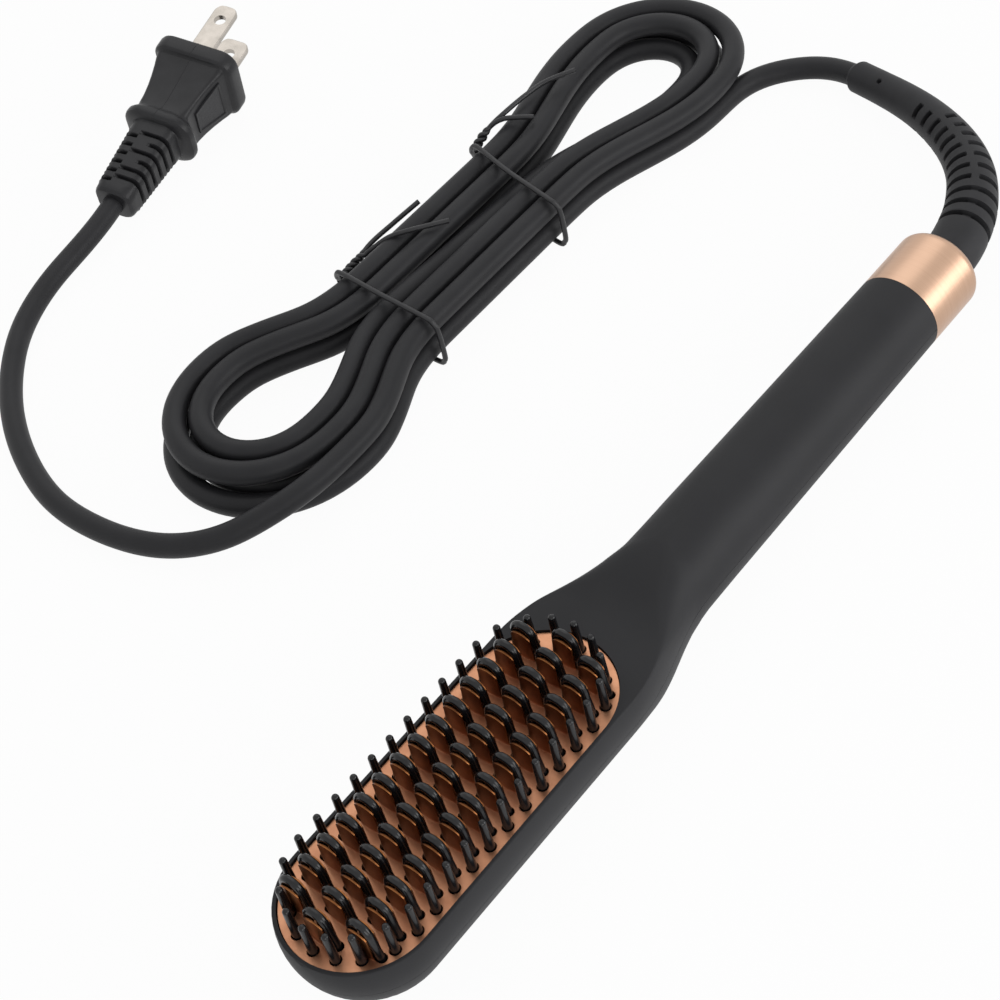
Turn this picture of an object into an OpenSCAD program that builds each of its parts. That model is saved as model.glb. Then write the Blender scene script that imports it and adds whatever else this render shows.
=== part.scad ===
// Heated straightening comb: a copper-coloured comb head with guard arches, a round handle,
// an end ring with a ribbed strain relief, and the mains lead tied in a hank.
// Millimetres. X across the comb, +Y from the head to the cord, +Z up through the teeth.
// The comb lies on its back: Z = 0 is the surface it lies on, X = Y = 0 its middle.

/* [Comb head] */
// Radius of the housing's rounded side and tip
head_r = 16.5; // [15:0.1:19]
// Height of the head, from its flat back to its rim
head_h = 17.2; // [16.4:0.1:20]
// Height of the centre of the housing's rounded side
head_centre_z = 13.8; // [13:0.1:14.6]
// Distance from the last tooth of the middle column to the tip
tip_gap = 6.7; // [6.2:0.1:9]
// Wall of the housing
wall = 2; // [1.6:0.1:2.4]

/* [Neck and handle] */
// Distance from the last tooth of the middle column to the start of the neck
neck_gap = 5; // [4:0.5:8]
// Length of the neck, from the full head to the round handle
neck_len = 28; // [26:1:40]
// Length of the handle between the neck and the end ring
handle_len = 79.5; // [77:0.5:120]
// Radius of the handle at the neck
handle_r = 10.2; // [9.8:0.1:12]
// Radius of the handle and the end ring where they meet
handle_end_r = 9.6; // [9.2:0.1:11]
// Height of the handle's axis
axis_z = 10.6; // [10.3:0.1:12]

/* [End ring] */
// Length of the end ring
ring_len = 17; // [14:0.5:22]
// Wall of the end ring
ring_wall = 1; // [0.8:0.1:1.4]
// Radius of the rounded end of the ring
ring_round = 2.2; // [1:0.1:3]

/* [Heat plate] */
// Thickness of the plate
plate_t = 1.8; // [1.4:0.1:2.2]
// How far the plate lies below the rim
plate_recess = 0.6; // [0.3:0.1:1]
// Width of the rim round the plate
rim_w = 0.8; // [0.6:0.1:1.2]
// Gap round the plate in its seat
plate_gap = 0.15; // [0.1:0.05:0.3]
// Depth of the ribs under the plate, which carry the heat down to it
rib_depth = 1.9; // [1.7:0.1:2.4]

/* [Teeth] */
// Teeth in the middle column
rows = 15; // [9:1:18]
// Distance between teeth in a column
pitch = 5; // [4.8:0.1:5.6]
// Distance between the columns
column_gap = 8; // [7.8:0.1:8.4]
// Length of a tooth across the comb
tooth_len = 4.6; // [4:0.1:5]
// Thickness of a pair of blades at its middle
tooth_t = 2.7; // [2.5:0.1:3.2]
// Thickness of a pair of blades at its ends
tooth_end_t = 2.3; // [2.2:0.1:2.4]
// Height of the blades at their shoulders
shoulder_h = 5.9; // [4.5:0.1:7]
// Height of the blades at their middle
crest_h = 7.2; // [6:0.1:8.5]

/* [Guards] */
// Diameter of the strand of a guard arch
strand_d = 1.6; // [1.4:0.1:1.7]
// Height of the guard arches above the plate
arch_h = 8.9; // [8:0.1:11]
// Bend radius of the crown of an arch
crown_r = 2.2; // [1.8:0.1:2.4]
// Lean of the legs of an arch
leg_lean = 8; // [4:1:10]
// Gap between an arch and its pair of blades
arch_gap = 0.08; // [0.05:0.01:0.12]
// Diameter of the edge pins at the plate
pin_d = 1.9; // [1.6:0.1:2]
// Diameter of the edge pins at their rounded ends
pin_end_d = 1.5; // [1.3:0.1:1.6]
// Height of the edge pins above the plate
pin_h = 8.2; // [6:0.1:10]
// Distance of the edge pins from the middle line
pin_x = 13.1; // [12.9:0.1:13.3]
// Gap round strands and pins in the plate
guard_gap = 0.2; // [0.15:0.05:0.25]
// Thickness of the frame that carries the guards
frame_t = 1.4; // [1:0.1:1.6]

/* [Buttons] */
// Diameter of the buttons
button_d = 6.6; // [5:0.1:7]
// How far the buttons stand out of their flat
button_proud = 0.6; // [0.3:0.1:0.8]
// Height of the flat with the buttons above the surface the comb lies on
pad_z = 1.2; // [1:0.1:1.5]
// Distance between the two buttons
button_pitch = 14; // [11:0.5:18]
// Travel of the buttons
button_travel = 0.5; // [0.3:0.1:0.6]
// Gap round the buttons and switch plungers
button_gap = 0.1; // [0.08:0.01:0.15]

/* [Heater] */
// Length of the heater
heater_len = 54; // [40:1:58]
// Width of the heater
heater_w = 19; // [16:0.5:19.5]
// Thickness of the ceramic chips
chip_t = 2; // [1.6:0.1:2.4]
// Number of ceramic chips
chips = 4; // [2:1:6]
// Thickness of the electrodes
electrode_t = 0.5; // [0.3:0.1:0.7]
// Thickness of the insulating films
film_t = 0.3; // [0.2:0.05:0.4]
// Thickness of the clamp strip
clamp_t = 0.8; // [0.6:0.1:1]

/* [Circuit board] */
// Length of the board
board_len = 50; // [46:1:60]
// Width of the board
board_w = 14; // [12:0.5:14.5]
// Thickness of the board
board_t = 1.2; // [1:0.1:1.6]
// Height of the board's underside
board_z = 7.4; // [7.2:0.1:8]

/* [Screws] */
// Diameter of the housing screws
screw_d = 2.2; // [1.8:0.1:2.6]
// Head diameter of the housing screws
screw_head_d = 4.2; // [3.8:0.1:4.6]
// Diameter of the small screws
small_screw_d = 1.8; // [1.6:0.1:2]

/* [Hidden] */

eps = 0.01;
// Places along the comb, measured from its tip and moved so that its middle is Y = 0
tooth_span = (rows - 1) * pitch;
body_len = tip_gap + tooth_span + neck_gap + neck_len + handle_len + ring_len;
tip_y = -body_len / 2;
first_y = tip_y + tip_gap;
last_y = first_y + tooth_span;
neck_y = last_y + neck_gap;
handle_y = neck_y + neck_len;
ring_y = handle_y + handle_len;
end_y = ring_y + ring_len;
// The housing's rim is where its rounded side is cut off
rim_half = sqrt(pow(head_r, 2) - pow(head_h - head_centre_z, 2));
round_y = tip_y + head_r;
plate_end_y = last_y + first_y - round_y;
plate_r = rim_half - rim_w - plate_gap;
plate_z = head_h - plate_recess - plate_t;
plate_top = plate_z + plate_t;
rib_z = plate_z - rib_depth;
frame_z = plate_z - frame_t - 0.1;
skin_sides = 30;

// Half-way smooth step from 0 to 1
function ease(t) = let (u = max(0, min(1, t))) u * u * (3 - 2 * u);
function mix(a, b, t) = a + (b - a) * t;
function same(value, count) = [for (i = [1 : count]) value];

// One cross-section of the housing at y, drawn in by inset: a circle cut off at the top
// and flat at the bottom
function outline(y, r, centre_z, top_z, bottom_z) =
    let (cut = asin(min(sin(86), max(-1, (top_z - centre_z) / r))),
         arc_steps = skin_sides - 8)
    [for (i = [0 : arc_steps]) let (a = cut - i * (180 + 2 * cut) / arc_steps)
        [r * cos(a), y, max(bottom_z, centre_z + r * sin(a))],
     for (i = [1 : 7]) [r * cos(cut) * (i / 4 - 1), y, centre_z + r * sin(cut)]];

function neck_t(y) = ease((y - neck_y) / neck_len);
function body_r(y) = y < handle_y ? mix(head_r, handle_r, neck_t(y))
    : mix(handle_r, handle_end_r, (y - handle_y) / handle_len);
function body_z(y) = mix(head_centre_z, axis_z, neck_t(y));
function body_top(y) = mix(head_h, axis_z + handle_r,
    ease((y - last_y - tip_gap - 4) / (handle_y + 2 - last_y - tip_gap - 4)));

// Cross-sections from the tip to the shells' end inside the ring
function body_sections(inset, end_inset) = concat(
    [for (a = [10, 22, 34, 46, 58, 70, 80]) let (r = (head_r - inset))
        outline(round_y - r * cos(a), r * sin(a), head_centre_z, head_h - inset, inset)],
    [outline(round_y, head_r - inset, head_centre_z, head_h - inset, inset)],
    [for (k = [0 : 8]) let (y = neck_y + neck_len * k / 8)
        outline(y, body_r(y) - inset, body_z(y), body_top(y) - inset, inset)],
    [outline(ring_y - (inset > 0 ? wall : 0), handle_end_r - inset, axis_z, 2 * head_h, 0)],
    [for (y = [ring_y - (inset > 0 ? wall : 0), end_y - spigot_short + (inset > 0 ? 1 : 0)])
        outline(y, handle_end_r - ring_wall - ring_fit - end_inset, axis_z, 2 * head_h, 0)]);
spigot_short = 2.6;
ring_fit = 0.05;

// A closed skin over a list of cross-sections with the same number of points
module skin(sections) {
    n = len(sections[0]);
    m = len(sections);
    first = same(1 / n, n) * sections[0];
    last = same(1 / n, n) * sections[m - 1];
    polyhedron(
        points = concat([for (s = sections) for (p = s) p], [first, last]),
        faces = concat(
            [for (i = [0 : n - 1]) [m * n, i, (i + 1) % n]],
            [for (k = [0 : m - 2]) for (i = [0 : n - 1]) let (a = k * n + i, b = k * n + (i + 1) % n)
                each [[a, a + n, b], [b, a + n, b + n]]],
            [for (i = [0 : n - 1]) [m * n + 1, (m - 1) * n + (i + 1) % n, (m - 1) * n + i]]),
        convexity = 10);
}

module stadium(r) {
    for (y = [round_y, plate_end_y]) translate([0, y]) circle(r, $fn = 96);
    translate([-r, round_y]) square([2 * r, plate_end_y - round_y]);
}

module above(z) {
    translate([-60, tip_y - 20, z]) cube([120, body_len + 40, 60]);
}

module below(z) {
    translate([-60, tip_y - 20, z - 60]) cube([120, body_len + 40, 60]);
}

// Axis places of the housing screws: both sides of the neck, and the handle's end
screw_places = [[-8, last_y + 12], [8, last_y + 12], [0, ring_y - 14]];
split_z = axis_z;
screw_seat_z = 5;
screw_floor_z = 3.4;
screw_top = [13.5, 13.5, 16];

module front_shell() {
    color("#2f2f32")
    difference() {
        union() {
            intersection() {
                difference() {
                    skin(body_sections(0, 0));
                    skin(body_sections(wall, wall - 0.4));
                }
                above(split_z);
            }
            // posts for the housing screws
            intersection() {
                skin(body_sections(wall / 2, wall / 2));
                for (p = screw_places)
                    translate([p[0], p[1], screw_seat_z]) cylinder(h = 30, d = screw_d + 3, $fn = 48);
            }
            // cross bars that carry the plate
            intersection() {
                skin(body_sections(wall / 2, wall / 2));
                for (y = bar_ys)
                    translate([-head_r, y - bar_w / 2, bar_z])
                        cube([2 * head_r, bar_w, rib_z - bar_z]);
            }
        }
        // seat of the plate, and the way in under it
        translate([0, 0, plate_z]) linear_extrude(10) stadium(plate_r + plate_gap);
        translate([0, 0, rib_z + eps]) linear_extrude(10) stadium(plate_r - 0.9);
        for (y = bar_ys)
            translate([0, y, 0]) cylinder(h = 30, d = small_screw_d + 0.3, $fn = 32);
        for (i = [0 : 2])
            translate([screw_places[i][0], screw_places[i][1], 0])
                cylinder(h = screw_top[i], d = screw_d, $fn = 32);
    }
}
bar_w = 4;
bar_z = rib_z - 2.2;
bar_ys = [first_y + 3.5, last_y - 3.5];

module back_shell() {
    color("#2f2f32")
    difference() {
        union() {
            intersection() {
                difference() {
                    skin(body_sections(0, 0));
                    skin(body_sections(wall, wall - 0.4));
                }
                below(split_z);
            }
            intersection() {
                skin(body_sections(wall / 2, wall / 2));
                union() {
                    for (p = screw_places)
                        translate([p[0], p[1], 0]) cylinder(h = screw_seat_z, d = screw_d + 4, $fn = 48);
                    for (y = board_screw_ys)
                        translate([0, y, 0]) cylinder(h = board_z, d = 4.4, $fn = 32);
                    translate([-clamp_half, clamp_y - 2.5, 0])
                        cube([2 * clamp_half, 5, axis_z - cord_r]);
                }
            }
        }
        for (p = screw_places) {
            translate([p[0], p[1], -1]) cylinder(h = 12, d = screw_d + 0.3, $fn = 32);
            translate([p[0], p[1], -1]) cylinder(h = screw_floor_z + 1, d = screw_head_d + 0.4, $fn = 48);
        }
        // flat of the buttons and status lights, with its holes and pockets
        translate([-6, pad_y0, -1]) cube([12, pad_len, pad_z + 1]);
        for (y = button_ys) {
            translate([0, y, 0]) cylinder(h = 12, d = button_d + 2 * button_gap, $fn = 64);
            translate([0, y, flange_z - 0.1]) cylinder(h = 12, d = flange_d + 0.8, $fn = 64);
        }
        for (y = led_ys)
            translate([0, y, 0]) cylinder(h = 4.2, d = light_d + 0.1, $fn = 32);
        translate([0, led_ys[1], guide_z - 0.1]) linear_extrude(8)
            square([light_d + 1.4, 2 * led_pitch + light_d + 1.4], center = true);
        for (y = board_screw_ys)
            translate([0, y, 3.4]) cylinder(h = 8, d = small_screw_d, $fn = 32);
        translate([0, tail_y, axis_z]) rotate([-90, 0, 0]) cylinder(h = 30, r = cord_r, $fn = 48);
        for (s = [-1, 1])
            translate([s * clamp_screw_x, clamp_y, axis_z - 5.4]) cylinder(h = 12, d = small_screw_d, $fn = 32);
    }
}
cord_r = 2.75;
// The clamp of the lead fits the room inside the handle
clamp_y = ring_y - 6;
clamp_half = handle_end_r - wall - 0.8;
clamp_head = 1.6;
clamp_screw_x = clamp_half - small_screw_d * clamp_head / 2 - 0.06;
clamp_ear = 1.8;
tail_y = clamp_y - 3.5;
board_y0 = handle_y + 5;
board_screw_ys = [board_y0 + 2.6, board_y0 + board_len - 2.6];
button_ys = [board_y0 + 11, board_y0 + 11 + button_pitch];
led_pitch = 4;
led_ys = [for (i = [0 : 2]) button_ys[1] + 8.5 + i * led_pitch];
pad_y0 = button_ys[0] - button_d / 2 - 3;
pad_len = led_ys[2] + 3.5 - pad_y0;
flange_z = pad_z + 1.3;
flange_t = 0.6;
flange_d = button_d + 1.8;
light_d = 2;
guide_z = 3.4;

// The places of all teeth: three columns, the outer two half a pitch on
tooth_places = [for (c = [-1 : 1]) for (i = [0 : rows - 1 - abs(c)])
    [c * column_gap, first_y + (i + abs(c) / 2) * pitch]];
crown_z = arch_h - strand_d / 2 - crown_r;
leg_len = (crown_z + crown_r * sin(leg_lean) + plate_t + 0.6) / cos(leg_lean) + 0.12;
leg_foot = crown_r * cos(leg_lean) + tan(leg_lean) * (crown_z + crown_r * sin(leg_lean));

// Places of the edge pins: along both sides, and five round each end
side_pins = [for (s = [-1, 1]) for (i = [1 : rows - 2]) let (y = first_y + i * pitch,
    past = max(0, round_y - y, y - plate_end_y)) [s * sqrt(pin_x * pin_x - past * past), y]];
end_pins = [for (e = [0, 1]) for (a = [-42, -21, 0, 21, 42])
    [(pin_x - 0.2) * sin(a), e == 0 ? round_y - (pin_x - 0.2) * cos(a) : plate_end_y + (pin_x - 0.2) * cos(a)]];
pin_places = concat(side_pins, end_pins);

// Plan of one pair of blades: a lens with blunt ends
module lens() {
    bulge = (tooth_t - tooth_end_t) / 2;
    side_r = (pow(tooth_len / 2, 2) + pow(bulge, 2)) / (2 * bulge);
    intersection() {
        translate([0, tooth_t / 2 - side_r]) circle(side_r, $fn = 200);
        translate([0, side_r - tooth_t / 2]) circle(side_r, $fn = 200);
        square([tooth_len, tooth_t], center = true);
    }
}

module foot_slots(gap) {
    w = strand_d + 2 * gap;
    slot_len = 1.1 + tan(leg_lean) * plate_t;
    for (s = [-1, 1]) translate([s * (leg_foot - 1.1), 0]) {
        circle(d = w, $fn = 32);
        translate([s * slot_len, 0]) circle(d = w, $fn = 32);
        translate([(s - 1) * slot_len / 2, -w / 2]) square([slot_len, w]);
    }
}

module heat_plate() {
    crest_r = (pow(tooth_len / 2, 2) + pow(crest_h - shoulder_h, 2)) / (2 * (crest_h - shoulder_h));
    color("#b9815c") {
        translate([0, 0, plate_z]) linear_extrude(plate_t) difference() {
            stadium(plate_r);
            for (p = tooth_places) translate(p) foot_slots(guard_gap);
            for (p = pin_places) translate(p) circle(d = pin_d + 2 * guard_gap, $fn = 32);
        }
        // blade pairs: lenses split by the groove of the arch, with arched tops
        intersection() {
            translate([0, 0, plate_top - eps]) linear_extrude(crest_h + 1) difference() {
                for (p = tooth_places) translate(p) lens();
                for (p = tooth_places) translate(p)
                    square([tooth_len + 2, strand_d + 2 * arch_gap], center = true);
            }
            for (c = [-1 : 1]) translate([c * column_gap, last_y + 5, plate_top - 1])
                rotate([90, 0, 0]) linear_extrude(tooth_span + 10) union() {
                    translate([-tooth_len, 0]) square([2 * tooth_len, shoulder_h]);
                    intersection() {
                        translate([0, 1 + crest_h - crest_r]) circle(crest_r, $fn = 200);
                        translate([-tooth_len / 2, 0]) square([tooth_len, crest_h + 2]);
                    }
                }
        }
        ribs();
    }
}

module ribs() {
    difference() {
        translate([0, 0, rib_z]) linear_extrude(rib_depth + eps) {
            difference() {
                for (c = [-1 : 1]) translate([c * column_gap - rib_w / 2, first_y + 0.5 + abs(c) * 7.2])
                    square([rib_w, tooth_span - 1 - abs(c) * 14.4]);
            }
        }
        for (y = bar_ys)
            translate([0, y, rib_z - 1]) cylinder(h = 3.6, d = small_screw_d, $fn = 32);
    }
}
rib_w = 3.8;

module guard_frame() {
    color("#1f1f21") {
        for (p = tooth_places) translate([p[0], p[1], plate_top]) {
            translate([0, 0, crown_z]) rotate([90, 0, 0]) rotate([0, 0, leg_lean])
                rotate_extrude(angle = 180 - 2 * leg_lean, $fn = 64) translate([crown_r, 0]) circle(d = strand_d, $fn = 32);
            for (s = [-1, 1])
                translate([s * crown_r * cos(leg_lean), 0, crown_z + crown_r * sin(leg_lean)])
                    rotate([0, 180 - s * leg_lean, 0]) translate([0, 0, -0.12])
                        cylinder(h = leg_len, d = strand_d + 0.02, $fn = 32);
        }
        for (p = pin_places) translate([p[0], p[1], frame_z + frame_t / 2]) {
            foot = plate_top - frame_z - frame_t / 2;
            cylinder(h = foot, d = pin_d, $fn = 32);
            translate([0, 0, foot]) cylinder(h = pin_h - pin_end_d / 2, d1 = pin_d, d2 = pin_end_d, $fn = 32);
            translate([0, 0, foot + pin_h - pin_end_d / 2]) sphere(d = pin_end_d, $fn = 32);
        }
        translate([0, 0, frame_z]) linear_extrude(frame_t) difference() {
            stadium(plate_r - 1.1);
            difference() {
                stadium(plate_r - 4.9);
                for (s = [-1, 1]) translate([s * column_gap / 2 - 1.6, first_y - 10])
                    square([3.2, tooth_span + 20]);
            }
        }
    }
}

// Heater: chips between two electrodes, wrapped in film and pressed up by the clamp
heater_y0 = (first_y + last_y - heater_len) / 2;
film_z = rib_z - film_t;
upper_electrode_z = film_z - electrode_t;
chip_z = upper_electrode_z - chip_t;
lower_electrode_z = chip_z - electrode_t;
lower_film_z = lower_electrode_z - film_t;
clamp_z = lower_film_z - clamp_t;

module heater_sheet(z, t, grow) {
    translate([-heater_w / 2 - grow, heater_y0 - grow, z]) cube([heater_w + 2 * grow, heater_len + 2 * grow, t]);
}

module ptc_chips() {
    step = heater_len / chips;
    color("#8a8f8c") for (i = [0 : chips - 1])
        translate([-heater_w / 2 + 1, heater_y0 + i * step + 0.5, chip_z]) cube([heater_w - 2, step - 1, chip_t]);
}

module heater_electrodes() {
    color("#c9ccd0") {
        heater_sheet(upper_electrode_z, electrode_t, 0);
        heater_sheet(lower_electrode_z, electrode_t, 0);
    }
}

module insulating_films() {
    color("#c98a2b") {
        heater_sheet(film_z, film_t, 0.5);
        heater_sheet(lower_film_z, film_t, 0.5);
    }
}

module heater_clamp() {
    color("#b8bcc0") difference() {
        union() {
            translate([-5, bar_ys[0] - bar_w / 2, clamp_z])
                cube([10, bar_ys[1] - bar_ys[0] + bar_w, clamp_t]);
            translate([-heater_w / 2, heater_y0 + 4, clamp_z]) cube([heater_w, heater_len - 8, clamp_t]);
            for (y = bar_ys)
                translate([-5, y - bar_w / 2, clamp_z]) cube([10, bar_w, bar_z - clamp_z]);
        }
        for (y = bar_ys)
            translate([0, y, clamp_z - 1]) cylinder(h = 20, d = small_screw_d + 0.3, $fn = 32);
    }
}

module small_screw(len, head = 1.9) {
    difference() {
        union() {
            translate([0, 0, -1.2]) cylinder(h = 1.2, d = small_screw_d * head, $fn = 32);
            cylinder(h = len, d = small_screw_d, $fn = 32);
        }
        for (a = [0, 90]) rotate([0, 0, a]) translate([-1.1, -0.2, -1.3]) cube([2.2, 0.4, 0.7]);
    }
}

module heater_screws() {
    color("#9aa0a6") for (y = bar_ys)
        translate([0, y, clamp_z]) small_screw(rib_z + rib_depth - 0.1 - clamp_z);
}

module heat_shield() {
    color("#b5a06a") difference() {
        translate([-9.5, first_y + 9, shield_z]) cube([19, tooth_span - 18, 0.6]);
        for (x = [-7, 7], y = [first_y + 14, last_y - 14])
            translate([x, y, shield_z - 1]) cylinder(h = 3, d = 1.6, $fn = 32);
    }
}
shield_z = 5.2;

module thermistor() {
    color("#3c5a3f") translate([0, last_y - 1.3, rib_z - 0.92])
        rotate([-90, 0, 0]) cylinder(h = 4, d = 1.8, $fn = 32);
}

module thermal_fuse() {
    color("#b9b4a6") translate([-5, last_y + 1, 7]) rotate([-90, 0, 0]) {
        cylinder(h = 9, d = 3.2, $fn = 32);
        translate([0, 0, -2.5]) cylinder(h = 14, d = 0.9, $fn = 24);
    }
}

module circuit_board() {
    color("#2f6b45") difference() {
        union() {
            translate([-board_w / 2, board_y0, board_z]) cube([board_w, board_len, board_t]);
            translate([-4.5, board_y0 + 6, board_z + board_t]) cube([9, 10, 5]);
            translate([-5.5, board_y0 + 18.5, board_z + board_t]) cube([5, 8, 3.4]);
            translate([1, board_y0 + 18.5, board_z + board_t]) cube([4, 4, 1.6]);
            translate([0, board_y0 + 33, board_z + board_t]) cylinder(h = 5.2, d = 6.3, $fn = 48);
            translate([-4.5, board_y0 + 39, board_z + board_t]) cube([9, 5, 4]);
        }
        for (y = board_screw_ys) translate([0, y, 0]) cylinder(h = 20, d = small_screw_d + 0.3, $fn = 32);
    }
}

module board_screws() {
    color("#9aa0a6") for (y = board_screw_ys)
        translate([0, y, board_z + board_t]) rotate([180, 0, 0]) small_screw(board_t + 3.6);
}

module tact_switch(y) {
    difference() {
        translate([-3, y - 3, switch_z]) cube([6, 6, board_z - switch_z]);
        translate([0, y, switch_z - 1]) cylinder(h = 1 + plunger_room, d = plunger_d + 2 * button_gap, $fn = 32);
    }
}
switch_z = flange_z + flange_t + 0.9;
plunger_d = 3.4;
plunger_room = 1.8;
plunger_z = flange_z + flange_t;

module power_switch() {
    color("#26282b") tact_switch(button_ys[0]);
}

module temperature_switch() {
    color("#26282b") tact_switch(button_ys[1]);
}

module plunger(y) {
    translate([0, y, plunger_z]) cylinder(h = switch_z - plunger_z + plunger_room - button_travel - 0.3, d = plunger_d, $fn = 32);
}

module power_plunger() {
    color("#d8d8d4") plunger(button_ys[0]);
}

module temperature_plunger() {
    color("#d8d8d4") plunger(button_ys[1]);
}

module button(y) {
    translate([0, y, 0]) rotate_extrude($fn = 64) polygon([
        [0, pad_z - button_proud],
        [button_d / 2 - 0.6, pad_z - button_proud],
        [button_d / 2, pad_z - button_proud + 0.35],
        [button_d / 2, flange_z],
        [flange_d / 2, flange_z],
        [flange_d / 2, plunger_z],
        [0, plunger_z]]);
}

module power_button() {
    color("#3a3a3d") button(button_ys[0]);
}

module temperature_button() {
    color("#3a3a3d") button(button_ys[1]);
}

module status_leds() {
    color("#f2f0e6") for (y = led_ys)
        translate([-0.8, y - 0.8, board_z - 0.7]) cube([1.6, 1.6, 0.7]);
}

module light_guide() {
    color("#dfe6ea") {
        for (y = led_ys) translate([0, y, pad_z]) cylinder(h = board_z - 0.9 - pad_z, d = light_d, $fn = 32);
        translate([-light_d / 2 - 0.5, led_ys[0] - light_d / 2 - 0.5, guide_z])
            cube([light_d + 1, 2 * led_pitch + light_d + 1, 0.8]);
    }
}

module end_ring() {
    r = handle_end_r;
    inner = r - ring_wall;
    color("#c99a76") translate([0, ring_y, axis_z]) rotate([-90, 0, 0]) rotate_extrude($fn = 128) difference() {
        union() {
            square([r, ring_len - ring_round]);
            square([r - ring_round, ring_len]);
            translate([r - ring_round, ring_len - ring_round]) circle(ring_round, $fn = 64);
        }
        translate([0, -1]) square([inner, ring_len - 0.1]);
        translate([0, -1]) square([boot_base_r + 0.2, ring_len + 2]);
        translate([-20, -20]) square([20, 60]);
    }
}
boot_base_r = 6;

module cord_clamp() {
    color("#d9d6cc") translate([0, clamp_y, axis_z]) difference() {
        union() {
            translate([-clamp_half, -2, -1]) cube([2 * clamp_half, 4, 1 + clamp_ear]);
            intersection() {
                translate([0, -2, 0]) rotate([-90, 0, 0]) cylinder(h = 4, r = cord_r + 0.6, $fn = 64);
                translate([-10, -5, -1]) cube([20, 10, 10]);
            }
        }
        translate([0, -5, 0]) rotate([-90, 0, 0]) cylinder(h = 10, r = cord_r, $fn = 48);
        for (s = [-1, 1]) translate([s * clamp_screw_x, 0, -5])
            cylinder(h = 10, d = small_screw_d + 0.3, $fn = 32);
    }
}

module clamp_screws() {
    color("#9aa0a6") for (s = [-1, 1]) translate([s * clamp_screw_x, clamp_y, axis_z + clamp_ear])
        rotate([180, 0, 0]) small_screw(clamp_ear + 5.2, clamp_head);
}

module housing_screws() {
    color("#8b9096") for (i = [0 : 2])
        translate([screw_places[i][0], screw_places[i][1], screw_floor_z]) difference() {
            union() {
                translate([0, 0, -1.4]) cylinder(h = 1.4, d = screw_head_d, $fn = 48);
                cylinder(h = screw_top[i] - screw_floor_z - 0.6, d = screw_d, $fn = 32);
            }
            for (a = [0, 90]) rotate([0, 0, a]) translate([-1.3, -0.25, -1.5]) cube([2.6, 0.5, 0.9]);
        }
}

module wire(a, b, d) {
    v = b - a;
    l = norm(v);
    translate(a) rotate([0, acos(v[2] / l), atan2(v[1], v[0])]) cylinder(h = l, d = d, $fn = 24);
}

module heater_leads() {
    color("#e8e6e0") for (s = [-1, 1])
        wire([s * 2.2, last_y - 1.5, clamp_z - 1], [s * 3, board_y0 + 1.5, board_z + board_t + 0.9], 1.5);
}

module supply_leads() {
    // each core goes round the end post
    post_y = ring_y - 14;
    for (s = [-1, 1]) color(s < 0 ? "#6b4a35" : "#3f6fb0") {
        route = [[s * 1.2, tail_y, axis_z], [s * 1.2, tail_y - 1, axis_z], [s * 4, post_y + 2, axis_z],
            [s * 4, post_y - 2, axis_z], [s * 3, board_y0 + board_len - 1.5, board_z + board_t + 0.8]];
        tube(route, 0.75, 8, [0, -1, 0], route[4] - route[3]);
    }
}

module cord_tail() {
    color("#2a2a2c") translate([0, tail_y, axis_z]) rotate([-90, 0, 0])
        cylinder(h = end_y - 2.5 - tail_y, r = cord_r, $fn = 48);
}

// Cross-section of a tube at point p with direction t: n points at radius r, counted from
// the side that is square to the vector up
function ring_at(p, t, r, n, up) = let (s = cross(t, up) / norm(cross(t, up)), v = cross(s, t) / norm(t))
    [for (i = [0 : n - 1]) p + r * (cos(360 * i / n) * s + sin(360 * i / n) * v)];

// Sections of a tube through points, with one radius for each point; its end faces are
// square to the two end directions, so that two tubes meet face to face
function tube_sections(pts, radii, n, start, end) = let (m = len(pts) - 1)
    [for (k = [0 : m]) ring_at(pts[k], k == 0 ? start : k == m ? end : pts[k + 1] - pts[k - 1],
        radii[k], n, [0, 0, 1])];

// Catmull-Rom points between the points of a route
function curve(pts, steps) = let (m = len(pts) - 1)
    concat([for (k = [0 : m - 1]) for (j = [0 : steps - 1])
        let (a = pts[max(0, k - 1)], b = pts[k], c = pts[k + 1], d = pts[min(m, k + 2)], u = j / steps)
        0.5 * (2 * b + (c - a) * u + (2 * a - 5 * b + 4 * c - d) * u * u
            + (3 * b - a - 3 * c + d) * u * u * u)], [pts[m]]);

module tube(pts, r, n, start, end) {
    skin(tube_sections(pts, same(r, len(pts)), n, start, end));
}

// The lead lies on the surface; its points are measured from the middle of the ring's end
boot_route = [[0, -2.5, 10.6], [0, 3, 10.6], [-0.8, 9, 10.6], [-3.4, 17.5, 10.4], [-8, 26, 10],
    [-13, 32.2, 9.4], [-18.8, 37.4, 8.7], [-25.6, 42, 8], [-33, 45.9, 7.2], [-40.6, 49, 6.3],
    [-48.4, 51.5, 5.4], [-53, 52.8, 4.9], [-57, 53.9, 4.5]];
lead_route = [[-57, 53.9, 4.5], [-62.5, 54.6, 4], [-68, 53.7, 3.5], [-73.2, 51, 3.1],
    [-77.8, 46.9, 2.9], [-80.6, 42, 2.8], [-81.5, 36.8, 2.8], [-81.5, 33, 2.8]];
plug_route = [[-81.5, -104, 8.8], [-81.5, -109.5, 8.8], [-82.2, -117, 8.6], [-85.2, -126.5, 7.8],
    [-92, -136.6, 5.4], [-104, -143.6, 3.2], [-119, -147, 2.8], [-136.5, -146.4, 2.8],
    [-154.5, -139.6, 2.8], [-170, -129.4, 2.8], [-182, -116.9, 3],
    [-188.4, -106, 3.2], [-191.6, -95, 3.8], [-192.6, -85, 4.5], [-194.04, -74.89, 5.3],
    [-195.33, -68.87, 6.1]];
hank_x = -104;
hank_y = -35.5;
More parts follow.
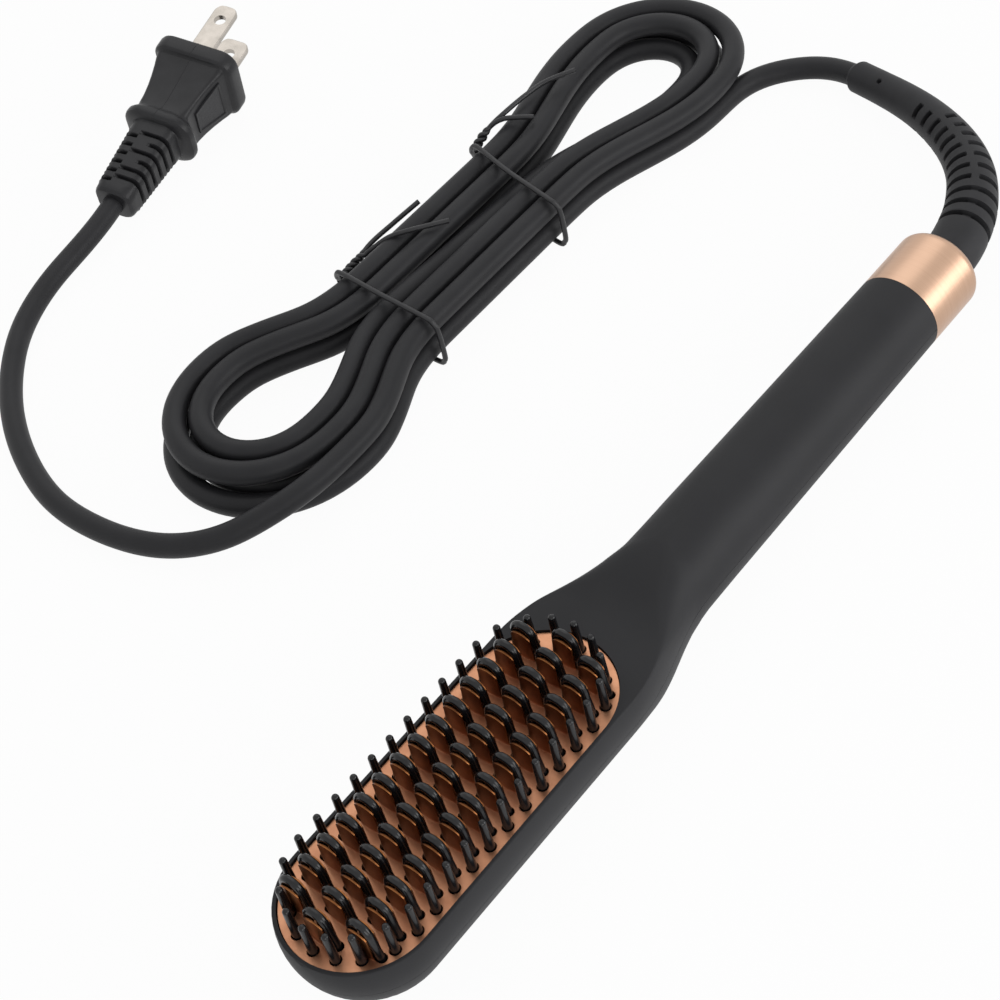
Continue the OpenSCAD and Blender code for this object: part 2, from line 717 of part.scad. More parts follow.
// Runs of the hank: half their length, the least distance from its middle line, the step
// between runs; its loops bulge past the waist, more at the plug's end
run_half = 68.5;
run_least = 1.5;
run_step = 3;
layer_rise = 6;
function run_r(k) = run_least + run_step * abs(k - 4);
// 1 at the waist of the hank, 0 at its loops
function waist(y) = y > 0 ? ease((run_half - 6 - y) / 40) : ease((run_half - 6 + y) / 26);
function hank_z(y) = 2.8 + 1.5 * waist(y);
function bulge(y) = (y > 0 ? 9 : 12) * (1 - waist(y));
function middle_x(y) = hank_x - (y > 0 ? 0 : 3 * (1 - waist(y)));
run_rings = 9;
turn_rings = 7;
hank_path = [for (k = [0 : 8]) let (side = k % 2 == 0 ? 1 : -1)
    each concat(
        [for (j = [0 : run_rings]) let (y = side * run_half * (1 - 2 * j / run_rings),
                up = k < 4 ? 0 : k > 4 ? 1 : ease(j / run_rings))
            [middle_x(y) + side * (run_r(k) + bulge(y)), hank_y + y,
             hank_z(y) + layer_rise * up]],
        k == 8 ? [] : [for (j = [1 : turn_rings - 1]) let (a = 180 * j / turn_rings,
                y = -side * run_half, r = mix(run_r(k), run_r(k + 1), j / turn_rings) + bulge(y))
            [middle_x(y) + side * r * cos(a), hank_y + y - side * r * sin(a),
             2.8 + layer_rise * (k < 4 ? 0 : 1)]])];
function path_len(p) = [for (i = [1 : len(p) - 1]) norm(p[i] - p[i - 1])] * same(1, len(p) - 1);
hank_gap = min([for (i = [0 : len(hank_path) - 1]) for (j = [i + 9 : 1 : len(hank_path) - 1])
    norm(hank_path[i] - hank_path[j])]) - 2 * cord_r;
echo(hank_gap = hank_gap, hank = path_len(hank_path), lead = path_len(lead_route),
    to_plug = path_len(plug_route), boot = path_len(boot_route));

// Ribs of the strain relief: flange, smooth base, ribs, smooth end
boot_steps = 8;
boot_fine = curve(boot_route, boot_steps);
boot_count = len(boot_fine);
// Directions of the lead where its pieces meet
boot_end = boot_fine[boot_count - 1] - boot_fine[boot_count - 2];
hank_end = [0, -1, 0];
function boot_r(i) = let (u = i / (boot_count - 1), r = mix(6, 3.9, ease(u * 1.1)), k = i % 4)
    i < 2 ? 7.8 : i < 20 ? 6 : u > 0.86 ? r : k < 2 ? r : r - 0.9;

module cord_boot() {
    color("#2b2b2d") translate([0, end_y, 0])
        skin(tube_sections(boot_fine, [for (i = [0 : boot_count - 1]) boot_r(i)], 12, [0, 1, 0], boot_end));
}

module cord_lead() {
    color("#2a2a2c") translate([0, end_y, 0]) tube(lead_route, cord_r, 10, boot_end, hank_end);
}

module cord_hank() {
    color("#2a2a2c") translate([0, end_y, 0]) tube(hank_path, cord_r, 6, hank_end, hank_end);
}

module cord_to_plug() {
    color("#2a2a2c") translate([0, end_y, 0]) tube(plug_route, cord_r, 10, hank_end, plug_dir);
}

// A tie goes once round the waist and ends in a tail, where its two ends are twisted together
tie_r = 0.75;
module tie(y, slant, tail) {
    x0 = hank_x - 15.2;
    x1 = hank_x + 18.2;
    z1 = 4.3 + layer_rise + cord_r + 1;
    near = y + slant / 2;
    far = y - slant / 2;
    loop = [[x0 - 0.2, near - 0.5, 7.2], [x0 - 0.1, near - 0.3, 4.2], [x0 + 0.6, near, 2],
        [x0 + 3, near, 0.8], [hank_x, y, 0.78], [x1 - 3, far, 0.8], [x1 - 0.6, far, 1.9],
        [x1, far, 4], [x1, far, z1 - 3.2], [x1 - 0.9, far, z1 - 1], [x1 - 3.2, far, z1],
        [hank_x, y, z1], [x0 + 3.4, near, z1], [x0 + 1, near + 0.3, z1 - 1.1],
        [x0 - 0.2, near + 0.9, z1 - 3.2], [x0 - 0.8, near + 1.9, z1 - 4.8]];
    pts = concat(loop, tail);
    last = len(pts) - 1;
    translate([0, end_y, 0]) color("#1c1c1e")
        skin([for (k = [0 : last]) ring_at(pts[k], pts[min(last, k + 1)] - pts[max(0, k - 1)], tie_r, 6,
            k < len(loop) - 1 ? [0, 1, 0] : k == len(loop) - 1 ? [0, 0.8, 0.6] : [0, 0, 1])]);
}

module tie_lower() {
    tie(-68, 2, [[-120.6, -63, 8.4], [-121.2, -58, 8.4], [-121.6, -52, 9.2], [-120.4, -44.8, 10.2],
        [-118.2, -37.6, 12]]);
}

module tie_upper() {
    tie(-21, 7, [[-120.6, -13.2, 10], [-119.6, -9, 12.6], [-118.2, -4.2, 14.2], [-117.3, 3.2, 14.6],
        [-115.7, 9.2, 14.9], [-111, 14.9, 15.8]]);
}

// The plug rests on its flanges; u is measured from its blade face back to the lead
plug_x = -205.19;
plug_y = -22.85;
plug_z = 12.3;
plug_turn = 12.1;
plug_pitch = 7.5;
plug_roll = 11;
plug_dir = [-sin(plug_turn) * cos(plug_pitch), cos(plug_turn) * cos(plug_pitch), sin(plug_pitch)];
plug_len = 47.5;
blade_l = 17.4;
blade_w = 6.35;
blade_t = 1.55;
blade_gap = 12.7;

module plug_frame() {
    translate([plug_x, end_y + plug_y, plug_z]) rotate([0, 0, plug_turn]) rotate([plug_pitch, 0, 0])
        rotate([0, plug_roll, 0]) children();
}

// Rounded rectangle across the plug: width, height, corner radius
function plug_section(u, w, h, r) = [for (q = [0 : 3]) for (j = [0 : 3])
    let (a = 90 * q + 30 * j, sx = q == 0 || q == 3 ? 1 : -1, sz = q < 2 ? 1 : -1)
    [sx * (w / 2 - r) + r * cos(a), -u, sz * (h / 2 - r) + r * sin(a)]];

sleeve_slots = 5;
module plug_body() {
    color("#2a2a2c") difference() {
        plug_frame() skin(concat(
            [plug_section(0, 22, 19, 3), plug_section(0.9, 24, 21, 4), plug_section(4.4, 24, 21, 4),
             plug_section(5.3, 22.5, 19.5, 4), plug_section(5.4, 21.4, 18.4, 3), plug_section(9, 18.6, 16.6, 3),
             plug_section(14, 16.2, 15, 3), plug_section(19.2, 15, 14, 3), plug_section(19.3, 20, 17, 5),
             plug_section(20.2, 22, 18.6, 6), plug_section(23.2, 22, 18.6, 6), plug_section(24.2, 20, 17, 5),
             plug_section(24.3, 14.8, 13.4, 4)],
            [for (i = [0 : sleeve_slots - 1]) for (k = [0 : 3]) let (u = 26.6 + i * 3.7 + [0, 0.1, 1.4, 1.5][k],
                    w = 14.8 - 2.8 * (u - 26) / 20, s = (k == 1 || k == 2) ? w - 2.4 : w)
                plug_section(u, s, s - 1, s / 3.4)],
            [plug_section(45.8, 12, 11.2, 3.4), plug_section(plug_len, 11, 10.4, 3.2)]));
        // seats of the two blades
        plug_blade_pair(3);
    }
}

module plug_blade_pair(depth) {
    plug_frame() for (s = [-1, 1]) translate([0, -depth, s * blade_gap / 2 - blade_t / 2])
        linear_extrude(blade_t) {
            translate([-blade_w / 2, 0]) square([blade_w, blade_l + depth - 2]);
            translate([-blade_w / 2 + 2, 0]) square([blade_w - 4, blade_l + depth]);
            for (x = [-1, 1]) translate([x * (blade_w / 2 - 2), blade_l + depth - 2]) circle(2, $fn = 32);
        }
}

module plug_blades() {
    color("#c9c8c4") difference() {
        plug_blade_pair(3);
        plug_frame() for (s = [-1, 1]) translate([0, blade_l - 5.5, s * blade_gap / 2 - 2])
            cylinder(h = 4, d = 3.2, $fn = 32);
    }
}

front_shell();
back_shell();
heat_plate();
guard_frame();
ptc_chips();
heater_electrodes();
insulating_films();
heater_clamp();
heater_screws();
heat_shield();
thermistor();
thermal_fuse();
circuit_board();
board_screws();
power_switch();
temperature_switch();
power_plunger();
temperature_plunger();
status_leds();
light_guide();
power_button();
temperature_button();
end_ring();
cord_clamp();
clamp_screws();
housing_screws();
heater_leads();
supply_leads();
cord_tail();
cord_boot();
cord_lead();
cord_hank();
cord_to_plug();
tie_lower();
tie_upper();
plug_body();
plug_blades();
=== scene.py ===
import math
import bmesh
import bpy
from mathutils import Matrix, Vector


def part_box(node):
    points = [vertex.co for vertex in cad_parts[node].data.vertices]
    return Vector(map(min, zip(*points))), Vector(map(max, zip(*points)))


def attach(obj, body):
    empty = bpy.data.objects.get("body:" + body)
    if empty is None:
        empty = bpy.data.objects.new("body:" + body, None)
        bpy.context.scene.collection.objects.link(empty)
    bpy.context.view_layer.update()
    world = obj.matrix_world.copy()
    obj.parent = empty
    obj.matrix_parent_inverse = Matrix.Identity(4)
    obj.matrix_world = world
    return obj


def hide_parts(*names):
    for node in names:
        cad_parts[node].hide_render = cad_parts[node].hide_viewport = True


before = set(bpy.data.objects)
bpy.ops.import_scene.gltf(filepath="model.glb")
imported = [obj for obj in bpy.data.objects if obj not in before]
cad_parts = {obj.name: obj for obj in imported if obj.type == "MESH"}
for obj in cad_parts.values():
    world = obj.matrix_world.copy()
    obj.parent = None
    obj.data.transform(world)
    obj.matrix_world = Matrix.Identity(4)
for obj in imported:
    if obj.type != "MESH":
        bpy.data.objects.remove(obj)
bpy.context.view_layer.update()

mm = 0.001


def point(x, y, z):
    return Vector((x * mm, y * mm, z * mm))


def ease(t):
    u = max(0.0, min(1.0, t))
    return u * u * (3 - 2 * u)


def mix(a, b, t):
    return a + (b - a) * t


def curvePoints(route, steps):
    # smooth curve through the route's points
    made = []
    last = len(route) - 1
    for k in range(last):
        a, b, c, d = (Vector(route[max(0, min(last, k + j))]) for j in (-1, 0, 1, 2))
        for j in range(steps):
            u = j / steps
            made.append(0.5 * (2 * b + (c - a) * u + (2 * a - 5 * b + 4 * c - d) * u * u
                               + (3 * b - a - 3 * c + d) * u * u * u))
    made.append(Vector(route[last]))
    return made


def lineLength(route):
    return sum((b - a).length for a, b in zip(route, route[1:]))


def evenPoints(route, gap):
    # the same line again, with its points the same distance apart
    total = lineLength(route)
    count = max(2, round(total / gap))
    step = total / count
    made = [route[0].copy()]
    need = step
    walked = 0.0
    for a, b in zip(route, route[1:]):
        length = (b - a).length
        while walked + length >= need - 1e-9 and len(made) < count:
            made.append(a.lerp(b, (need - walked) / length))
            need += step
        walked += length
    made.append(route[-1].copy())
    return made


def relaxed(route, passes):
    # the same line without its small corners
    made = list(route)
    for _ in range(passes):
        inner = [b * 0.5 + (a + c) * 0.25 for a, b, c in zip(made, made[1:], made[2:])]
        made = [made[0]] + inner + [made[-1]]
    return made


def tubeFrames(route, firstSide):
    # direction, side and up at each point, carried along the line so that the tube never twists
    last = len(route) - 1
    side = Vector(firstSide)
    made = []
    for k in range(last + 1):
        along = (route[min(last, k + 1)] - route[max(0, k - 1)]).normalized()
        side = (side - along * side.dot(along)).normalized()
        made.append((along, side.copy(), along.cross(side)))
    return made


def newObject(name, verts, faces, material, smooth=True, angle=35):
    mesh = bpy.data.meshes.new(name)
    mesh.from_pydata([tuple(v) for v in verts], [], faces)
    mesh.update()
    bm = bmesh.new()
    bm.from_mesh(mesh)
    bmesh.ops.recalc_face_normals(bm, faces=bm.faces)
    bm.to_mesh(mesh)
    bm.free()
    if smooth:
        mesh.shade_smooth()
        mesh.set_sharp_from_angle(angle=math.radians(angle))
    obj = bpy.data.objects.new(name, mesh)
    bpy.context.scene.collection.objects.link(obj)
    mesh.materials.append(material)
    return obj


def loftFaces(rings, around, base=0):
    # faces from each ring to the next, and one that closes each end
    faces = []
    for k in range(rings - 1):
        for i in range(around):
            a, b = base + k * around + i, base + k * around + (i + 1) % around
            faces.append((a, b, b + around, a + around))
    faces.append(tuple(base + i for i in range(around - 1, -1, -1)))
    faces.append(tuple(base + (rings - 1) * around + i for i in range(around)))
    return faces


def tubeMesh(route, radius, around, firstSide=(0, 0, 1), base=0):
    # radius is a number, or a function of the point's place from 0 to 1 and the angle round
    verts = []
    last = len(route) - 1
    for k, (p, (_, side, up)) in enumerate(zip(route, tubeFrames(route, firstSide))):
        for i in range(around):
            a = 2 * math.pi * i / around
            r = radius(k / last, a) if callable(radius) else radius
            verts.append(p + (side * math.cos(a) + up * math.sin(a)) * r)
    return verts, loftFaces(len(route), around, base)


def linear(code):
    parts = [int(code[i:i + 2], 16) / 255 for i in (1, 3, 5)]
    return tuple(c / 12.92 if c <= 0.04045 else ((c + 0.055) / 1.055) ** 2.4 for c in parts) + (1.0,)


def addNode(tree, kind, values=None, links=None, ramp=(), **settings):
    made = tree.nodes.new(kind)
    for key, value in settings.items():
        setattr(made, key, value)
    for key, value in (values or {}).items():
        made.inputs[key].default_value = value
    for key, source in (links or {}).items():
        tree.links.new(source, made.inputs[key])
    for k, (place, tone) in enumerate(ramp):
        made.color_ramp.elements[k].position = place
        made.color_ramp.elements[k].color = linear(tone)
    return made


def startMaterial(name, surface):
    material = bpy.data.materials.new(name)
    material.use_nodes = True
    tree = material.node_tree
    tree.nodes.clear()
    shader = addNode(tree, "ShaderNodeBsdfPrincipled", surface)
    addNode(tree, "ShaderNodeOutputMaterial", links={"Surface": shader.outputs[0]})
    place = addNode(tree, "ShaderNodeTexCoord").outputs["Object"]
    return material, tree, shader, place


def mottled(name, look):
    # two near tones in soft patches, a finer variation of the gloss, and a grain in the surface
    material, tree, shader, place = startMaterial(name, {
        "Metallic": look.get("metallic", 0.0), **look.get("extra", {})})
    patch = addNode(tree, "ShaderNodeTexNoise", {"Scale": 1 / (look["patchMm"] * mm), "Detail": 4.0},
                    {"Vector": place})
    tones = addNode(tree, "ShaderNodeValToRGB", links={"Fac": patch.outputs["Fac"]},
                    ramp=[(0.3, look["dark"]), (0.7, look["light"])])
    tree.links.new(tones.outputs["Color"], shader.inputs["Base Color"])
    grain = addNode(tree, "ShaderNodeTexNoise", {"Scale": 1 / (look["grainMm"] * mm), "Detail": 2.0},
                    {"Vector": place})
    gloss = addNode(tree, "ShaderNodeMapRange", {"To Min": look["rough"][0], "To Max": look["rough"][1]},
                    {"Value": grain.outputs["Fac"]})
    tree.links.new(gloss.outputs["Result"], shader.inputs["Roughness"])
    bump = addNode(tree, "ShaderNodeBump", {"Strength": look["bump"], "Distance": look["bumpMm"] * mm},
                   {"Height": grain.outputs["Fac"]})
    tree.links.new(bump.outputs["Normal"], shader.inputs["Normal"])
    return material


# the grains are drawn coarser than the real ones, so that they show
looks = {
    # soft-touch coated ABS: charcoal, broad soft highlights, a trace of grain
    "softTouchAbs": dict(dark="#262628", light="#2b2b2d", patchMm=18, grainMm=0.25, rough=(0.5, 0.6),
                         bump=0.05, bumpMm=0.05, extra={"Specular IOR Level": 0.2}),
    # glossy moulded nylon: near black, small sharp highlights
    "glossNylon": dict(dark="#101012", light="#161618", patchMm=3, grainMm=0.6, rough=(0.16, 0.26),
                       bump=0.04, bumpMm=0.04, extra={"Specular IOR Level": 0.35}),
    # PVC lead jacket: dark grey, satin
    "leadPvc": dict(dark="#262628", light="#2c2c2e", patchMm=9, grainMm=0.3, rough=(0.42, 0.55),
                    bump=0.06, bumpMm=0.05, extra={"Specular IOR Level": 0.2}),
    # moulded rubber of the strain relief: charcoal, dull, fine grain
    "mouldedRubber": dict(dark="#29292b", light="#303032", patchMm=5, grainMm=0.35, rough=(0.5, 0.62),
                          bump=0.12, bumpMm=0.06, extra={"Specular IOR Level": 0.2}),
    # glossy PVC of the plug: charcoal, clear soft highlights on its edges
    "plugPvc": dict(dark="#202022", light="#2a2a2c", patchMm=5, grainMm=0.4, rough=(0.32, 0.42),
                    bump=0.08, bumpMm=0.05, extra={"Specular IOR Level": 0.25}),
    # etched mould texture of the plug's grip panels, in the same PVC: black, sparkling grain
    "gripTexture": dict(dark="#141416", light="#303033", patchMm=0.35, grainMm=0.3, rough=(0.3, 0.6),
                        bump=0.6, bumpMm=0.12, extra={"Specular IOR Level": 0.35}),
    # nickel-plated brass: pale warm grey, satin
    "nickelPlate": dict(dark="#a9a39b", light="#bdb6ae", patchMm=3, grainMm=0.4, rough=(0.3, 0.42),
                        bump=0.05, bumpMm=0.03, metallic=1.0),
    # coated tie wire: black, slightly glossy
    "tieCoat": dict(dark="#222224", light="#2a2a2c", patchMm=2, grainMm=0.3, rough=(0.35, 0.5),
                    bump=0.1, bumpMm=0.05, extra={"Specular IOR Level": 0.4}),
    # moulded silicone of the button caps: grey, matte
    "siliconeKey": dict(dark="#3b3b3e", light="#434346", patchMm=3, grainMm=0.2, rough=(0.55, 0.65),
                        bump=0.05, bumpMm=0.03),
    # zinc-plated steel: bluish grey, half dull
    "zincSteel": dict(dark="#8f9498", light="#a9adb0", patchMm=1.5, grainMm=0.2, rough=(0.3, 0.45),
                      bump=0.08, bumpMm=0.03, metallic=1.0),
    # sintered ceramic: grey, chalky
    "sinteredCeramic": dict(dark="#7c807d", light="#8f9390", patchMm=3, grainMm=0.3, rough=(0.7, 0.8),
                            bump=0.1, bumpMm=0.05),
    # rolled aluminium sheet: pale, silky
    "rolledSheet": dict(dark="#b9bcbf", light="#cfd1d3", patchMm=6, grainMm=0.4, rough=(0.3, 0.4),
                        bump=0.05, bumpMm=0.03, metallic=1.0),
    # polyimide film: amber, glassy
    "amberFilm": dict(dark="#a8701c", light="#c98a2b", patchMm=8, grainMm=0.6, rough=(0.15, 0.25),
                      bump=0.04, bumpMm=0.04),
    # mica sheet: brown-gold layers
    "micaSheet": dict(dark="#a08c58", light="#b9a673", patchMm=4, grainMm=0.5, rough=(0.4, 0.6),
                      bump=0.15, bumpMm=0.05),
    # solder-masked board: green, silky
    "solderMask": dict(dark="#245a39", light="#2f6b45", patchMm=3, grainMm=0.4, rough=(0.3, 0.4),
                       bump=0.08, bumpMm=0.04),
    # moulded polypropylene: off-white, satin
    "palePlastic": dict(dark="#cbc8bf", light="#dedbd2", patchMm=4, grainMm=0.3, rough=(0.45, 0.55),
                        bump=0.05, bumpMm=0.04),
    # moulded phenolic of the switch bodies: near black, dull
    "switchPhenolic": dict(dark="#222427", light="#2b2d30", patchMm=2, grainMm=0.25, rough=(0.45, 0.6),
                           bump=0.08, bumpMm=0.04),
    # clear acrylic, frosted by its mould: pale, milky
    "frostedAcrylic": dict(dark="#cfd6da", light="#e2e8eb", patchMm=2, grainMm=0.2, rough=(0.25, 0.4),
                           bump=0.04, bumpMm=0.03),
    # extruded silicone of the heater leads: off-white, matte
    "siliconeWire": dict(dark="#d9d6ce", light="#ebe8e0", patchMm=4, grainMm=0.3, rough=(0.5, 0.6),
                         bump=0.06, bumpMm=0.04),
    # extruded PVC sheath of the inner cores: brown, satin
    "coreSheath": dict(dark="#5d4232", light="#6f503d", patchMm=4, grainMm=0.3, rough=(0.45, 0.55),
                       bump=0.06, bumpMm=0.04),
    # epoxy-dipped bead: dark green, glossy
    "epoxyBead": dict(dark="#2f4a33", light="#3c5a3f", patchMm=1, grainMm=0.2, rough=(0.2, 0.35),
                      bump=0.06, bumpMm=0.04),
}
materials = {name: mottled(name, look) for name, look in looks.items()}


def copperCoating():
    # copper-coloured coat on die-cast aluminium, fine blasted: the plate is a pale satin rose; the blades
    # get painted shade, a darker, warmer tone for the shade and dark reflections among the black arches;
    # every edge is shaded as if rounded, so that it catches a thin bright line
    look = dict(plateDark="#a8765a", plateLight="#bd8a6b", bladePaintedShadeDark="#75492c", bladePaintedShadeLight="#946039",
                paintedShadeFrom=16.75, paintedShadeTo=17.3, sparkleMm=0.3, patchMm=5.0, edgeMm=0.14, rough=(0.3, 0.46),
                bump=0.25, bumpMm=0.04)
    material, tree, shader, place = startMaterial("copperCoat", {"Metallic": 1.0})
    patch = addNode(tree, "ShaderNodeTexNoise", {"Scale": 1 / (look["patchMm"] * mm), "Detail": 5.0},
                    {"Vector": place})
    sparkle = addNode(tree, "ShaderNodeTexNoise", {"Scale": 1 / (look["sparkleMm"] * mm), "Detail": 2.0},
                      {"Vector": place})
    tones = [addNode(tree, "ShaderNodeValToRGB", links={"Fac": patch.outputs["Fac"]},
                     ramp=[(0.35, look[dark]), (0.65, look[light])]).outputs["Color"]
             for dark, light in (("plateDark", "plateLight"), ("bladePaintedShadeDark", "bladePaintedShadeLight"))]
    height = addNode(tree, "ShaderNodeSeparateXYZ", links={0: place}).outputs["Z"]
    # painted shade: from just above the plate upwards, the blades take the darker tone instead of the
    # plate's tone
    blade = addNode(tree, "ShaderNodeMapRange", links={"Value": height},
                    values={"From Min": look["paintedShadeFrom"] * mm, "From Max": look["paintedShadeTo"] * mm})
    tone = addNode(tree, "ShaderNodeMix", data_type="RGBA",
                   links={0: blade.outputs["Result"], 6: tones[0], 7: tones[1]})
    tree.links.new(tone.outputs[2], shader.inputs["Base Color"])
    gloss = addNode(tree, "ShaderNodeMapRange", {"To Min": look["rough"][0], "To Max": look["rough"][1]},
                    {"Value": sparkle.outputs["Fac"]})
    tree.links.new(gloss.outputs["Result"], shader.inputs["Roughness"])
    edge = addNode(tree, "ShaderNodeBevel", {"Radius": look["edgeMm"] * mm}, samples=6)
    bump = addNode(tree, "ShaderNodeBump", {"Strength": look["bump"], "Distance": look["bumpMm"] * mm},
                   {"Height": sparkle.outputs["Fac"], "Normal": edge.outputs["Normal"]})
    tree.links.new(bump.outputs["Normal"], shader.inputs["Normal"])
    return material


def ringAluminium():
    # satin anodised aluminium, turned on a lathe: rose-gold, with marks that run round it, drawn
    # coarser than real ones so that they show
    look = dict(dark="#bc9a82", light="#c8a78f", rough=0.34, markMm=0.12, markLongMm=25, bump=0.03,
                bumpMm=0.02)
    material, tree, shader, place = startMaterial("satinAnodised", {
        "Metallic": 1.0, "Roughness": look["rough"]})
    fine, long = 1 / (look["markMm"] * mm), 1 / (look["markLongMm"] * mm)
    stretched = addNode(tree, "ShaderNodeMapping", {"Scale": (long, fine, long)}, {"Vector": place})
    marks = addNode(tree, "ShaderNodeTexNoise", {"Scale": 1.0, "Detail": 3.0},
                    {"Vector": stretched.outputs[0]})
    tones = addNode(tree, "ShaderNodeValToRGB", links={"Fac": marks.outputs["Fac"]},
                    ramp=[(0.25, look["dark"]), (0.75, look["light"])])
    tree.links.new(tones.outputs["Color"], shader.inputs["Base Color"])
    bump = addNode(tree, "ShaderNodeBump", {"Strength": look["bump"], "Distance": look["bumpMm"] * mm},
                   {"Height": marks.outputs["Fac"]})
    tree.links.new(bump.outputs["Normal"], shader.inputs["Normal"])
    return material


materials["copperCoat"] = copperCoating()
materials["satinAnodised"] = ringAluminium()
print("materials made")


cameraView = dict(place=(198.03, -194.5, 336.6), lens=79.2, sensor=36.0, near=0.01, far=20.0,
                  right=(0.76202, 0.61998, -0.18694), up=(-0.36741, 0.65168, 0.66357),
                  back=(0.53323, -0.43697, 0.72438))
cameraData = bpy.data.cameras.new("camera")
cameraData.lens = cameraView["lens"]
cameraData.sensor_width = cameraView["sensor"]
cameraData.clip_start = cameraView["near"]
cameraData.clip_end = cameraView["far"]
camera = bpy.data.objects.new("camera", cameraData)
bpy.context.scene.collection.objects.link(camera)
axes = Matrix((cameraView["right"], cameraView["up"], cameraView["back"])).transposed().to_4x4()
camera.matrix_world = Matrix.Translation(point(*cameraView["place"])) @ axes
bpy.context.scene.camera = camera
print("camera set")


# the routes are those of part.scad, in millimetres from the end of the ring
ringStart, ringEnd = (corner.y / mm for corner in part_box("end_ring"))
lead = dict(diameter=5.5, around=24, gap=1.6, relax=10, exit=(0, 0, 10.6))
bootRoute = [(0, -2.5, 10.6), (0, 3, 10.6), (-0.8, 9, 10.6), (-3.4, 17.5, 10.4), (-8, 26, 10),
             (-13, 32.2, 9.4), (-18.8, 37.4, 8.7), (-25.6, 42, 8), (-33, 45.9, 7.2),
             (-40.6, 49, 6.3), (-48.4, 51.5, 5.4), (-53, 52.8, 4.9), (-57, 53.9, 4.5)]
leadRoute = [(-57, 53.9, 4.5), (-62.5, 54.6, 4), (-68, 53.7, 3.5), (-73.2, 51, 3.1),
             (-77.8, 46.9, 2.9), (-80.6, 42, 2.8), (-81.5, 36.8, 2.8), (-81.5, 33, 2.8)]
plugRoute = [(-81.5, -104, 8.8), (-81.5, -109.5, 8.8), (-82.2, -117, 8.6), (-85.2, -126.5, 7.8),
             (-92, -136.6, 5.4), (-104, -143.6, 3.2), (-119, -147, 2.8), (-136.5, -146.4, 2.8),
             (-154.5, -139.6, 2.8), (-170, -129.4, 2.8), (-182, -116.9, 3), (-188.4, -106, 3.2),
             (-191.6, -95, 3.8), (-192.6, -85, 4.5), (-194.04, -74.89, 5.3), (-195.33, -68.87, 6.1)]
hank = dict(x=-104, y=-35.5, runs=9, runHalf=68.5, runLeast=1.5, runStep=3, lowest=2.8, layerRise=6,
            waistLift=1.5, waistIn=6, leadTaper=40, plugTaper=26, leadBulge=9, plugBulge=12, plugShift=3)


def waist(y):
    # 1 where the ties hold the hank, falling to 0 at both ends
    taper = hank["leadTaper"] if y > 0 else hank["plugTaper"]
    return ease((hank["runHalf"] - hank["waistIn"] - abs(y)) / taper)


def bulge(y):
    return (hank["leadBulge"] if y > 0 else hank["plugBulge"]) * (1 - waist(y))


def middleX(y):
    return hank["x"] - (0 if y > 0 else hank["plugShift"] * (1 - waist(y)))


def hankRoute(runRings=16, turnRings=12):
    # runs in two layers, joined by half turns, and the middle run climbs from one to the other
    made = []
    half, middle = hank["runHalf"], (hank["runs"] - 1) // 2
    for k in range(hank["runs"]):
        side = 1 if k % 2 == 0 else -1
        runR = hank["runLeast"] + hank["runStep"] * abs(k - middle)
        nextR = hank["runLeast"] + hank["runStep"] * abs(k + 1 - middle)
        for j in range(runRings + 1):
            y = side * half * (1 - 2 * j / runRings)
            up = 0 if k < middle else 1 if k > middle else ease(j / runRings)
            made.append((middleX(y) + side * (runR + bulge(y)), hank["y"] + y,
                         hank["lowest"] + hank["waistLift"] * waist(y) + hank["layerRise"] * up))
        for j in range(1, turnRings if k < hank["runs"] - 1 else 1):
            a = math.pi * j / turnRings
            y = -side * half
            r = mix(runR, nextR, j / turnRings) + bulge(y)
            made.append((middleX(y) + side * r * math.cos(a), hank["y"] + y - side * r * math.sin(a),
                         hank["lowest"] + (0 if k < middle else hank["layerRise"])))
    return made


def atRing(route):
    return [(x, y + ringEnd, z) for x, y, z in route]


def lineInMetres(route, steps=4):
    return [v * mm for v in curvePoints(atRing(route), steps)]


leadLine = lineInMetres(leadRoute)
hankLine = [Vector(v) * mm for v in atRing(hankRoute())]
plugLine = lineInMetres(plugRoute)
wholeLine = lineInMetres(bootRoute, 6) + leadLine[1:] + hankLine[1:] + plugLine[1:]
cordLine = relaxed(evenPoints(wholeLine, lead["gap"] * mm), lead["relax"])
verts, faces = tubeMesh(cordLine, lead["diameter"] / 2 * mm, lead["around"])
cord = newObject("mainsLead", verts, faces, materials["leadPvc"], angle=60)
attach(cord, "comb")
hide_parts("cord_lead", "cord_hank", "cord_to_plug", "cord_tail")


# places along the strain relief are in millimetres from its start; angles are in degrees from its top,
# towards the outside of the bend
relief = dict(base=6.0, tip=3.9, taperFrom=8, flange=7.8, flangeThick=1.0, around=120, gap=0.25,
              rows=12, lineRows=3, outerRows=10, rowStart=13.4, rowStep=4.23, slot=1.5, slotLip=0.15,
              slotDepth=2.4, lineDepth=1.1, innerEdge=-70, softDegrees=5, softEdge=0.3,
              web=(10, -12), webFrom=20, webOver=35, webHalf=11,
              outerEdge=(74, 26), outerFrom=24, outerOver=28, endBevel=1.4, endSlope=0.7,
              dimpleAt=76.9, dimpleAngle=-30, dimple=0.4, dimpleDepth=1.2)
bootLine = evenPoints(lineInMetres(bootRoute, 10), relief["gap"] * mm)
bootLength = lineLength(bootLine) / mm


def band(value, low, high, soft):
    # 1 between low and high, falling to 0 over the soft width
    return ease((value - low) / soft + 0.5) * (1 - ease((value - high) / soft + 0.5))


def slotCut(s, row, degrees):
    # two slots in a row, a web between them on top that drifts inwards, and a rail along each side
    soft = relief["softDegrees"]
    web = mix(*relief["web"], ease((s - relief["webFrom"]) / relief["webOver"]))
    outerEdge = mix(*relief["outerEdge"], ease((s - relief["outerFrom"]) / relief["outerOver"]))
    inner = band(degrees, relief["innerEdge"], web - relief["webHalf"], soft)
    outer = band(degrees, web + relief["webHalf"], outerEdge, soft) if row < relief["outerRows"] else 0.0
    line = relief["lineDepth"] if row < relief["lineRows"] else 0.0
    return max(relief["slotDepth"] * max(inner, outer), line)


